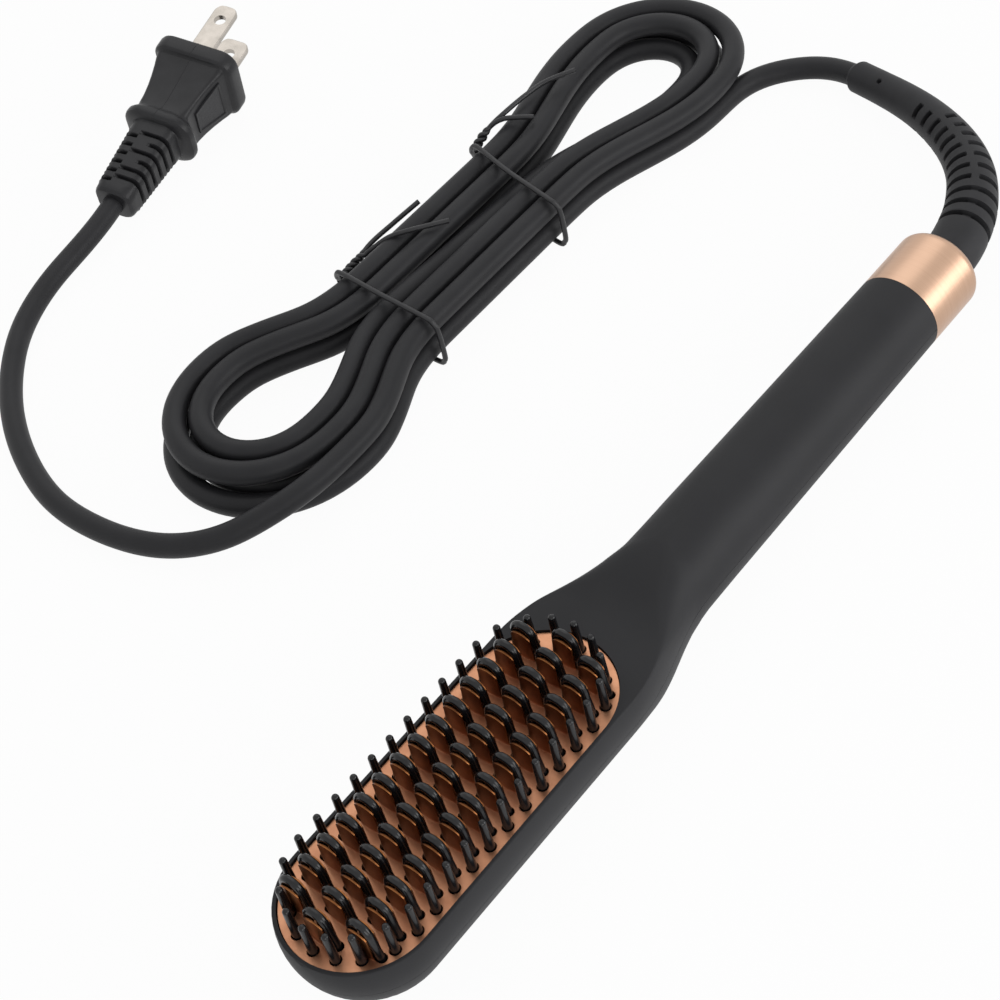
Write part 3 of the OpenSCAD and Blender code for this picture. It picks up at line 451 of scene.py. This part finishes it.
def reliefRadius(t, angle):
    s = t * bootLength
    taper = ease((s - relief["taperFrom"]) / (bootLength - relief["taperFrom"]))
    radius = mix(relief["base"], relief["tip"], taper)
    if s < relief["flangeThick"]:
        return relief["flange"] * mm
    toEnd = bootLength - s
    if toEnd < relief["endBevel"]:
        return (radius - (relief["endBevel"] - toEnd) * relief["endSlope"]) * mm
    degrees = (math.degrees(angle) + 180) % 360 - 180
    k = (s - relief["rowStart"] + relief["slot"] / 2) / relief["rowStep"]
    row = math.floor(k)
    if 0 <= row < relief["rows"]:
        if abs(degrees) > 90:  # the underside has the same slots as the top
            degrees = math.copysign(180, degrees) - degrees
        part = (k - row) * relief["rowStep"]
        along = band(part, relief["slotLip"], relief["slot"], relief["softEdge"])
        return (radius - slotCut(s, row, degrees) * along) * mm
    away = math.hypot(s - relief["dimpleAt"], math.radians(degrees - relief["dimpleAngle"]) * radius)
    dent = 1 - ease((away - relief["dimple"]) / relief["softEdge"])
    return (radius - relief["dimpleDepth"] * dent) * mm


verts, faces = tubeMesh(bootLine, reliefRadius, relief["around"])
boot = newObject("strainRelief", verts, faces, materials["mouldedRubber"], angle=30)
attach(boot, "comb")
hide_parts("cord_boot")
print("strain relief made")


ties = dict(strand=0.62, around=14, gap=0.5, twist=3.6, twistGap=0.3, apart=0.98, opening=3,
            left=-119.2, right=-85.8, low=0.78, overLead=3.75)
tieShapes = {
    "tieWireLower": dict(node="tie_lower", y=-68, slant=2, twistedTo=8.0,
                         pair=[(-120.0, -65.1, 9.2), (-120.6, -63, 8.4), (-121.2, -58, 8.4)],
                         longEnd=[(-121.6, -52, 9.2), (-120.4, -44.8, 10.2), (-118.2, -37.6, 12)],
                         shortEnd=[(-119.0, -54.4, 10.2), (-115.4, -51.6, 13.0), (-111.6, -48.6, 14.2),
                                   (-104.6, -41.6, 14.6)]),
    "tieWireUpper": dict(node="tie_upper", y=-21, slant=7, twistedTo=5.0,
                         pair=[(-120.0, -15.6, 9.2), (-120.6, -13.2, 10.0), (-119.6, -9, 12.6)],
                         longEnd=[(-118.2, -4.2, 14.2), (-117.3, 3.2, 14.6), (-115.7, 9.2, 14.9),
                                  (-111, 14.9, 15.8)],
                         shortEnd=[(-117.0, -6.8, 14.4), (-113.6, -4.6, 14.6), (-110.4, -2.6, 14.4)]),
}


def tieLoop(y, slant):
    # once round the hank's waist, as the ties in part.scad go
    near, far = y + slant / 2, y - slant / 2
    x0, x1, middle, low = ties["left"], ties["right"], hank["x"], ties["low"]
    top = hank["lowest"] + hank["waistLift"] + hank["layerRise"] + ties["overLead"]
    return [(x0 - 0.2, near - 0.5, 7.2), (x0 - 0.1, near - 0.3, 4.2), (x0 + 0.6, near, 2),
            (x0 + 3, near, 0.8), (middle, y, low), (x1 - 3, far, 0.8), (x1 - 0.6, far, 1.9),
            (x1, far, 4), (x1, far, top - 3.2), (x1 - 0.9, far, top - 1), (x1 - 3.2, far, top),
            (middle, y, top), (x0 + 3.4, near, top), (x0 + 1, near + 0.3, top - 1.1),
            (x0 - 0.2, near + 0.9, top - 3.2), (x0 - 0.8, near + 1.9, top - 4.8)]


def tieStrand(tail, turned, twistedTo):
    # one strand of the twisted pair: it circles their shared line, and past twistedTo goes its own way
    line = evenPoints(lineInMetres(tail, 8), ties["twistGap"] * mm)
    made = []
    walked = 0.0
    for k, (p, (_, side, up)) in enumerate(zip(line, tubeFrames(line, (0, 0, 1)))):
        walked += (p - line[k - 1]).length / mm if k else 0.0
        out = ties["strand"] * ties["apart"] * (1 - ease((walked - twistedTo) / ties["opening"]))
        a = turned + 2 * math.pi * walked / ties["twist"]
        made.append(p + (side * math.cos(a) + up * math.sin(a)) * out * mm)
    return made


def makeTie(name, shape):
    # the loop and both strands of its twisted end, in one piece
    radius, across = ties["strand"] * mm, (0, 1, 0)
    loop = evenPoints(lineInMetres(tieLoop(shape["y"], shape["slant"]), 6), ties["gap"] * mm)
    verts, faces = tubeMesh(loop, radius, ties["around"], across)
    for turned, end in ((0.0, "longEnd"), (math.pi, "shortEnd")):
        strand = tieStrand(shape["pair"] + shape[end], turned, shape["twistedTo"])
        strandVerts, strandFaces = tubeMesh(strand, radius, ties["around"], across, len(verts))
        verts += strandVerts
        faces += strandFaces
    made = newObject(name, verts, faces, materials["tieCoat"], angle=50)
    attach(made, "comb")
    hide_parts(shape["node"])
    return made


tieWires = [makeTie(name, shape) for name, shape in tieShapes.items()]
print("ties made")


# a neck is where it starts, from the last tooth, and how long it is; neckBlend is the first point of the
# section, and the number of points, over which the upper neck gives way to the lower one
housing = dict(radius=16.5, centreZ=13.8, axisZ=10.6, handleRadius=10.2, handleEndRadius=9.6,
               firstTooth=-96.4, lastTooth=-26.4, tipGap=6.7, upperNeck=(-2.0, 32.0), lowerNeck=(5.0, 28.0),
               neckBlend=(20, 24), rimZ=17.2, rimWidth=0.8, rimFillet=0.45, neckFillet=7.0, backFillet=3.0,
               tipShare=0.3, neckShare=0.8, backShare=0.4, riseFrom=4, riseTo=2, fadeFrom=1, fadeTo=6,
               seam=0.04, ringGap=0.05, plateTop=16.6, plateThick=1.8, seatDepth=3.9, cutTop=30,
               tipAngles=(2.5, 6, 10, 15, 20, 26, 32, 38, 44, 50, 56, 62, 68, 74, 80, 85),
               headRings=10, neckRings=32, handleRings=8)
roundY = housing["firstTooth"] - housing["tipGap"] + housing["radius"]
neckY = housing["lastTooth"] + housing["upperNeck"][0]
handleY = neckY + housing["upperNeck"][1]
plateEndY = housing["lastTooth"] + housing["firstTooth"] - roundY
rimHalf = math.sqrt(housing["radius"] ** 2 - (housing["rimZ"] - housing["centreZ"]) ** 2)
seatRadius = rimHalf - housing["rimWidth"]


def bodySizes(y, neck):
    # radius, height of its centre and height of the flat top at this place along the comb
    start, length = housing["lastTooth"] + neck[0], neck[1]
    t = ease((y - start) / length)
    if y < start + length:
        radius = mix(housing["radius"], housing["handleRadius"], t)
    else:
        radius = mix(housing["handleRadius"], housing["handleEndRadius"],
                     (y - start - length) / (ringStart - start - length))
    rise = housing["lastTooth"] + housing["tipGap"] + housing["riseFrom"]
    top = mix(housing["rimZ"], housing["axisZ"] + housing["handleRadius"],
              ease((y - rise) / (handleY + housing["riseTo"] - rise)))
    if y < roundY:
        radius = math.sqrt(max(0.01, radius ** 2 - (roundY - y) ** 2))
    return radius, mix(housing["centreZ"], housing["axisZ"], t), top


def halfSection(y, neck, topSteps=8, rimSteps=6, sideSteps=34, backSteps=8):
    # right half of the cross section, from the middle of the top down to the middle of the back
    radius, centreZ, top = bodySizes(y, neck)
    top = min(top, centreZ + radius)
    low = max(0.0, centreZ - radius)
    # the rim's edge is crisp along the plate and melts into the round handle along the neck
    fade = ease((y - plateEndY - seatRadius - housing["fadeFrom"])
                / (handleY - housing["fadeTo"] - plateEndY - seatRadius))
    share = housing["tipShare"] if y < roundY else housing["neckShare"]
    rim = min(mix(housing["rimFillet"], housing["neckFillet"], fade), radius * share)
    rimX = math.sqrt(max(0.0, (radius - rim) ** 2 - (top - rim - centreZ) ** 2))
    rimAngle = math.atan2(top - rim - centreZ, rimX)
    back = min(housing["backFillet"], radius * housing["backShare"])
    backX = math.sqrt(max(0.0, (radius - back) ** 2 - (centreZ - low - back) ** 2))
    backAngle = -math.atan2(centreZ - low - back, backX)
    made = [(rimX * i / topSteps, top) for i in range(topSteps)]
    made += [(rimX + rim * math.cos(a), top - rim + rim * math.sin(a))
             for a in [mix(math.pi / 2, rimAngle, i / rimSteps) for i in range(rimSteps)]]
    made += [(radius * math.cos(a), centreZ + radius * math.sin(a))
             for a in [mix(rimAngle, backAngle, i / sideSteps) for i in range(sideSteps)]]
    made += [(backX + back * math.cos(a), low + back + back * math.sin(a))
             for a in [mix(backAngle, -math.pi / 2, i / backSteps) for i in range(backSteps)]]
    made += [(backX * (1 - i / backSteps), low) for i in range(backSteps + 1)]
    return [point(x, y, z) for x, z in made]


def section(y):
    # the neck narrows sooner on top than underneath, where it holds the screws
    upper, lower = (halfSection(y, housing[neck]) for neck in ("upperNeck", "lowerNeck"))
    first, count = housing["neckBlend"]
    right = [a.lerp(b, ease((k - first) / count)) for k, (a, b) in enumerate(zip(upper, lower))]
    left = [Vector((-p.x, p.y, p.z)) for p in reversed(right[1:-1])]
    return right + left


def roundHole(x, y, z0, z1, r, around=48):
    turns = [2 * math.pi * i / around for i in range(around)]
    verts = [point(x + r * math.cos(a), y + r * math.sin(a), z) for z in (z0, z1) for a in turns]
    return verts, loftFaces(2, around)


def plateSeat(r, z0, z1, around=96):
    # the oblong that the heat plate sits in, with a half circle at each end
    verts = []
    for z in (z0, z1):
        for i in range(around):
            a = 2 * math.pi * i / around
            middle = plateEndY if math.sin(a) > 0 else roundY
            verts.append(point(r * math.cos(a), middle + r * math.sin(a), z))
    return verts, loftFaces(2, around)


def padRecess(x0, x1, y0, y1, z0, z1):
    ring = [(x0, y0), (x1, y0), (x1, y1), (x0, y1)]
    return [point(x, y, z) for z in (z0, z1) for x, y in ring], loftFaces(2, 4)


def cutFrom(obj, parts, sharp=32):
    # one Boolean for each cutter, applied at once
    for verts, faces in parts:
        cutter = newObject(obj.name + "Cutter", verts, faces, obj.data.materials[0], smooth=False)
        cut = obj.modifiers.new("cut", "BOOLEAN")
        cut.operation = "DIFFERENCE"
        cut.solver = "EXACT"
        cut.object = cutter
        depsgraph = bpy.context.evaluated_depsgraph_get()
        mesh = bpy.data.meshes.new_from_object(obj.evaluated_get(depsgraph))
        obj.modifiers.remove(cut)
        old = obj.data
        obj.data = mesh
        bpy.data.meshes.remove(old)
        bpy.data.objects.remove(cutter)
    obj.data.shade_smooth()
    obj.data.set_sharp_from_angle(angle=math.radians(sharp))


def halfHousing(name, upper):
    # the whole outer form, cut off above or below the seam
    head, neck, handle = housing["headRings"], housing["neckRings"], housing["handleRings"]
    places = [roundY - housing["radius"] * math.cos(math.radians(a)) for a in housing["tipAngles"]]
    places += [mix(roundY, neckY, k / head) for k in range(head)]
    places += [mix(neckY, handleY, k / neck) for k in range(neck)]
    places += [mix(handleY, ringStart - housing["ringGap"], k / handle) for k in range(handle + 1)]
    rings = [section(y) for y in places]
    verts = [p for ring in rings for p in ring]
    obj = newObject(name, verts, loftFaces(len(rings), len(rings[0])), materials["softTouchAbs"])
    bm = bmesh.new()
    bm.from_mesh(obj.data)
    z = (housing["axisZ"] + (housing["seam"] if upper else -housing["seam"])) * mm
    bmesh.ops.bisect_plane(bm, geom=bm.verts[:] + bm.edges[:] + bm.faces[:], plane_co=(0, 0, z),
                           plane_no=(0, 0, -1 if upper else 1), clear_outer=True)
    bmesh.ops.holes_fill(bm, edges=[e for e in bm.edges if e.is_boundary], sides=0)
    bmesh.ops.recalc_face_normals(bm, faces=bm.faces)
    bm.to_mesh(obj.data)
    bm.free()
    return obj


frontHousing = halfHousing("frontHousing", True)
seatFloor = housing["plateTop"] - housing["plateThick"] - housing["seatDepth"]
cutFrom(frontHousing, [plateSeat(seatRadius, seatFloor, housing["cutTop"])])
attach(frontHousing, "comb")
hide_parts("front_shell")

# the sunken pad on the back with its two button holes and light windows, and the screw holes
pad = dict(halfWidth=6.0, depth=1.2, before=6.3, after=3.5, under=-1, keyHole=3.4, keyHoleTop=2.5,
           keyRoom=4.6, keyRoomZ=(2.4, 9.5), light=1.05, lightTop=9.0, lightInset=1.5, lightStep=4,
           lights=3, screwHole=2.3, screwTop=4.4, screwSide=8, screwFromTooth=12, screwFromRing=14)
backHousing = halfHousing("backHousing", False)
keyBoxes = [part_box(key) for key in ("power_button", "temperature_button")]
keyYs = [(low.y + high.y) / 2 / mm for low, high in keyBoxes]
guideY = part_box("light_guide")[0].y / mm
lightYs = [guideY + pad["lightInset"] + pad["lightStep"] * i for i in range(pad["lights"])]
neckScrewY = housing["lastTooth"] + pad["screwFromTooth"]
screwPlaces = [(-pad["screwSide"], neckScrewY), (pad["screwSide"], neckScrewY),
               (0, ringStart - pad["screwFromRing"])]
cutters = [padRecess(-pad["halfWidth"], pad["halfWidth"], keyYs[0] - pad["before"],
                     lightYs[-1] + pad["after"], pad["under"], pad["depth"])]
cutters += [roundHole(0, y, pad["under"], pad["keyHoleTop"], pad["keyHole"]) for y in keyYs]
cutters += [roundHole(0, y, *pad["keyRoomZ"], pad["keyRoom"]) for y in keyYs]
cutters += [roundHole(0, y, pad["under"], pad["lightTop"], pad["light"], 32) for y in lightYs]
cutters += [roundHole(x, y, pad["under"], pad["screwTop"], pad["screwHole"]) for x, y in screwPlaces]
cutFrom(backHousing, cutters)
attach(backHousing, "comb")
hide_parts("back_shell")
print("housing made")


plug = dict(x=-205.19, y=-22.85, z=12.3, turn=12.1, pitch=7.5, roll=11)
plugPlace = (Matrix.Translation(point(plug["x"], plug["y"] + ringEnd, plug["z"]))
             @ Matrix.Rotation(math.radians(plug["turn"]), 4, "Z")
             @ Matrix.Rotation(math.radians(plug["pitch"]), 4, "X")
             @ Matrix.Rotation(math.radians(plug["roll"]), 4, "Y"))
# distance behind the blade face, width, height and corner radius: a collar, the waisted body, a collar
plugProfile = [
    (0, 20.2, 17.4, 3.6), (0.15, 21.2, 18.4, 3.8), (0.6, 22.1, 19.3, 4.0), (1.3, 22.5, 19.7, 4.1),
    (3.9, 22.5, 19.7, 4.1), (4.5, 22.2, 19.4, 4.0), (4.9, 21.5, 18.7, 3.8), (5.1, 20.2, 17.4, 2.4),
    (5.4, 19.4, 16.8, 1.7), (7, 18.5, 16.2, 1.3), (9, 17.3, 15.4, 1.1), (12, 15.9, 14.5, 1.1),
    (15, 14.8, 13.7, 1.1), (18, 14.1, 13.1, 1.2), (20, 14.1, 13.1, 1.6), (20.8, 14.9, 13.4, 3),
    (21.4, 16.6, 14.0, 4.6), (22.0, 18.4, 14.9, 5.4), (22.7, 19.3, 15.5, 5.6), (23.6, 19.4, 15.6, 5.6),
    (24.3, 19.0, 15.3, 5.4), (24.8, 17.6, 14.6, 5.0), (25.1, 15.2, 13.4, 4.4), (25.3, 13.4, 12.2, 4)]
# the sleeve behind it; a slot is from one angle to another, and sleeveTip is place, width and corner radius
sleeve = dict(start=25.6, end=45.0, ringStep=0.2, startWidth=12.6, endWidth=10.6, flatter=0.8, corner=0.24,
              slotStart=28.9, slotStep=2.8, slotRows=6, slotWidth=0.9, slotDepth=1.3, softEdge=0.25,
              softDegrees=5, longSlot=(-40, 104), shortSlot=(-40, 66), leftSlot=(112, 144))
sleeveTip = [(45.6, 10.6, 3.2), (47.0, 10.4, 3.2), (47.6, 10.0, 3.1), (48.0, 9.2, 2.9), (48.1, 7.8, 2.5)]


def plugRing(u, w, h, r, perCorner=8, perSide=8):
    # rounded rectangle across the plug, u millimetres behind its blade face
    made = []
    corners = [(1, 1), (-1, 1), (-1, -1), (1, -1)]
    for q, (sx, sz) in enumerate(corners):
        arc = [(sx * (w / 2 - r) + r * math.cos(a), sz * (h / 2 - r) + r * math.sin(a)) for a in
               [math.radians(90 * q + 90 * j / (perCorner - 1)) for j in range(perCorner)]]
        nx, nz = corners[(q + 1) % 4]
        turn = math.radians(90 * (q + 1))
        end = (nx * (w / 2 - r) + r * math.cos(turn), nz * (h / 2 - r) + r * math.sin(turn))
        side = [(mix(arc[-1][0], end[0], j / (perSide + 1)), mix(arc[-1][1], end[1], j / (perSide + 1)))
                for j in range(1, perSide + 1)]
        made += [(x, -u, z) for x, z in arc + side]
    return made


def sleeveDip(u, degrees):
    # long and short slots by turns over the top right corner, the last one long, with short ones
    # on the left between them, and the same again underneath
    dip = 0.0
    halfWidth = sleeve["slotWidth"] / 2
    rightSlots = (sleeve["longSlot"], sleeve["shortSlot"])
    for shift, slots in ((0.0, rightSlots), (0.5, (sleeve["leftSlot"], sleeve["leftSlot"]))):
        k = (u - sleeve["slotStart"]) / sleeve["slotStep"] - shift
        row = math.floor(k + 0.5)
        if 0 <= row < sleeve["slotRows"]:
            along = band((k - row) * sleeve["slotStep"], -halfWidth, halfWidth, sleeve["softEdge"])
            low, high = slots[row % 2 if row < sleeve["slotRows"] - 1 else 0]
            for turned in (0, 180):
                a = (degrees - turned + 120) % 360 - 120
                dip = max(dip, along * band(a, low, high, sleeve["softDegrees"]))
    return dip * sleeve["slotDepth"]


def sleeveRings():
    rings = []
    count = round((sleeve["end"] - sleeve["start"]) / sleeve["ringStep"])
    for k in range(count + 1):
        u = mix(sleeve["start"], sleeve["end"], k / count)
        size = mix(sleeve["startWidth"], sleeve["endWidth"], k / count)
        made = []
        for x, y, z in plugRing(u, size, size - sleeve["flatter"], size * sleeve["corner"]):
            f = 1 - sleeveDip(u, math.degrees(math.atan2(z, x))) / (size / 2)
            made.append((x * f, y, z * f))
        rings.append(made)
    for u, width, corner in sleeveTip:
        rings.append(plugRing(u, width, width - sleeve["flatter"], corner))
    return rings


bodyRings = [plugRing(*ring) for ring in plugProfile]
rings = bodyRings + sleeveRings()
verts = [plugPlace @ point(*p) for ring in rings for p in ring]
plugMoulding = newObject("plugMoulding", verts, loftFaces(len(rings), len(rings[0])), materials["plugPvc"],
                         angle=28)

# front and back edge of a grip panel: distance behind the blade face, half height and half width;
# border goes inwards from its outline: share of the outline's size, and height over the cheek
grip = dict(front=(7.4, 5.9, 9.1), back=(17.4, 3.6, 7.14),
            border=[(1.0, -0.3), (0.99, 0.3), (0.95, 0.38), (0.88, 0.3), (0.85, 0.06)])


def gripPanel(side):
    # textured face inside a raised border, on one cheek of the plug
    (u0, z0, x0), (u1, z1, x1) = grip["front"], grip["back"]
    outer = [(side * x0, -u0, z0), (side * x0, -u0, -z0), (side * x1, -u1, -z1), (side * x1, -u1, z1)]
    middle = Vector((sum(p[0] for p in outer) / 4, sum(p[1] for p in outer) / 4, 0))
    verts = []
    for scale, lift in grip["border"]:
        for p in outer:
            q = middle + (Vector(p) - middle) * scale
            verts.append(plugPlace @ (Vector((q.x + side * lift, q.y, q.z)) * mm))
    return verts, loftFaces(len(grip["border"]), 4)


for side, name in ((1, "gripBorderRight"), (-1, "gripBorderLeft")):
    verts, faces = gripPanel(side)
    border = newObject(name, verts, faces, materials["plugPvc"], angle=30)
    border.data.materials.append(materials["gripTexture"])
    border.data.polygons[-1].material_index = 1
    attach(border, "comb")
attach(plugMoulding, "comb")
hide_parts("plug_body")

mouldRidge = [(-0.14, -0.1), (-0.07, 0.07), (0.07, 0.07), (0.14, -0.1)]  # its section: side and height


def mouldLine():
    # fine raised line where the mould halves meet, along the top of the plug
    verts = []
    for ring in bodyRings:
        y, top = ring[0][1], max(z for _, _, z in ring)
        verts += [plugPlace @ point(x, y, top + z) for x, z in mouldRidge]
    return verts, loftFaces(len(bodyRings), len(mouldRidge))


verts, faces = mouldLine()
plugLineMark = newObject("plugMouldLine", verts, faces, materials["plugPvc"], angle=30)
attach(plugLineMark, "comb")

blade = dict(length=15.6, narrow=6.35, wide=7.94, thick=1.55, gap=12.7, root=1.0, tipRadius=2.4,
             bevel=0.3, bevelHigh=0.25, hole=3.2, holeBack=5.0, drillHalf=2)


def bladeMesh(height, width, steps=8):
    # flat blade with a rounded end and a bevelled edge
    w, length, t, r = width / 2, blade["length"], blade["thick"] / 2, blade["tipRadius"]
    turns = [math.pi / 2 * i / steps for i in range(steps + 1)]
    outline = [(-w, -blade["root"]), (-w, length - r)]
    outline += [(-w + r - r * math.cos(a), length - r + r * math.sin(a)) for a in turns[1:]]
    outline += [(w - r + r * math.sin(a), length - r + r * math.cos(a)) for a in turns]
    outline += [(w, -blade["root"])]
    bevel, high = blade["bevel"], blade["bevelHigh"]
    verts = []
    for inset, z in [(bevel, -t), (0.0, -t + high), (0.0, t - high), (bevel, t)]:
        f = 1 - inset / w
        verts += [plugPlace @ point(x * f, min(y, length - inset), height + z) for x, y in outline]
    return verts, loftFaces(4, len(outline))


def bladeHole(height, around=32):
    r, y, half = blade["hole"] / 2, blade["length"] - blade["holeBack"], blade["drillHalf"]
    turns = [2 * math.pi * i / around for i in range(around)]
    verts = [plugPlace @ point(r * math.cos(a), y + r * math.sin(a), height + z)
             for z in (-half, half) for a in turns]
    return verts, loftFaces(2, around)


for side, name, width in ((1, "plugBladeUpper", "narrow"), (-1, "plugBladeLower", "wide")):
    height = side * blade["gap"] / 2
    verts, faces = bladeMesh(height, blade[width])
    made = newObject(name, verts, faces, materials["nickelPlate"])
    cutFrom(made, [bladeHole(height)])
    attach(made, "comb")
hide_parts("plug_blades")
print("plug made")


finishes = {
    "heat_plate": "copperCoat", "guard_frame": "glossNylon", "end_ring": "satinAnodised",
    "ptc_chips": "sinteredCeramic", "heater_electrodes": "rolledSheet", "insulating_films": "amberFilm",
    "heater_clamp": "zincSteel", "heater_screws": "zincSteel", "heat_shield": "micaSheet",
    "thermistor": "epoxyBead", "thermal_fuse": "sinteredCeramic", "circuit_board": "solderMask",
    "board_screws": "zincSteel", "power_switch": "switchPhenolic", "temperature_switch": "switchPhenolic",
    "power_plunger": "palePlastic", "temperature_plunger": "palePlastic", "status_leds": "frostedAcrylic",
    "light_guide": "frostedAcrylic", "power_button": "siliconeKey", "temperature_button": "siliconeKey",
    "cord_clamp": "palePlastic", "clamp_screws": "zincSteel", "housing_screws": "zincSteel",
    "heater_leads": "siliconeWire", "supply_leads": "coreSheath"}
for name, finish in finishes.items():
    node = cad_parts[name]
    node.data.materials.clear()
    node.data.materials.append(materials[finish])
print("finishes set")


def seenRays(tree):
    # 1 where the camera, a mirror or glass looks at the background, 0 where it only gives light
    rays = addNode(tree, "ShaderNodeLightPath")
    some = addNode(tree, "ShaderNodeMath", operation="MAXIMUM",
                   links={0: rays.outputs["Is Camera Ray"], 1: rays.outputs["Is Glossy Ray"]})
    return addNode(tree, "ShaderNodeMath", operation="MAXIMUM",
                   links={0: some.outputs[0], 1: rays.outputs["Is Transmission Ray"]}).outputs[0]


sweep = dict(half=4.0, drop=0.00002, paper=0.9, white=0.96)  # half and drop in metres


def stageMaterial():
    # pale studio sweep: nearly white to the camera, and it keeps the soft shadow
    material = bpy.data.materials.new("paleSweep")
    material.use_nodes = True
    tree = material.node_tree
    tree.nodes.clear()
    paper = addNode(tree, "ShaderNodeBsdfDiffuse", {"Color": (sweep["paper"],) * 3 + (1,)})
    glow = addNode(tree, "ShaderNodeEmission", {"Color": (1, 1, 1, 1), "Strength": 1.0})
    share = addNode(tree, "ShaderNodeMath", {1: sweep["white"]}, {0: seenRays(tree)}, operation="MULTIPLY")
    both = addNode(tree, "ShaderNodeMixShader",
                   links={0: share.outputs[0], 1: paper.outputs[0], 2: glow.outputs[0]})
    addNode(tree, "ShaderNodeOutputMaterial", links={"Surface": both.outputs[0]})
    return material


floorCorners = [(x * sweep["half"], y * sweep["half"], -sweep["drop"])
                for x, y in ((-1, -1), (1, -1), (1, 1), (-1, 1))]
floor = newObject("floor", floorCorners, [(0, 1, 2, 3)], stageMaterial(), smooth=False)

studio = dict(softLight=0.42, aim=(-40, 0, 0), lamps=[
    dict(name="key", place=(-300, 420, 800), size=900, power=1.5),
    dict(name="fill", place=(700, 330, 190), size=620, power=3.4),
    dict(name="side", place=(560, -420, 110), size=500, power=1.6)])
world = bpy.data.worlds.new("studio")
bpy.context.scene.world = world
world.use_nodes = True
worldTree = world.node_tree
worldTree.nodes.clear()
soft = addNode(worldTree, "ShaderNodeBackground", {"Color": (1, 1, 1, 1), "Strength": studio["softLight"]})
white = addNode(worldTree, "ShaderNodeBackground", {"Color": (1, 1, 1, 1), "Strength": 1.0})
blend = addNode(worldTree, "ShaderNodeMixShader", links={
    0: seenRays(worldTree), 1: soft.outputs[0], 2: white.outputs[0]})
addNode(worldTree, "ShaderNodeOutputWorld", links={"Surface": blend.outputs[0]})

for lamp in studio["lamps"]:
    data = bpy.data.lights.new(lamp["name"], "AREA")
    data.shape = "DISK"
    data.size = lamp["size"] * mm
    data.energy = lamp["power"]
    obj = bpy.data.objects.new(lamp["name"], data)
    bpy.context.scene.collection.objects.link(obj)
    obj.location = point(*lamp["place"])
    obj.rotation_mode = "QUATERNION"
    obj.rotation_quaternion = (point(*studio["aim"]) - obj.location).to_track_quat("-Z", "Y")
bpy.context.scene.view_settings.view_transform = "Standard"
print("stage and lamps set")
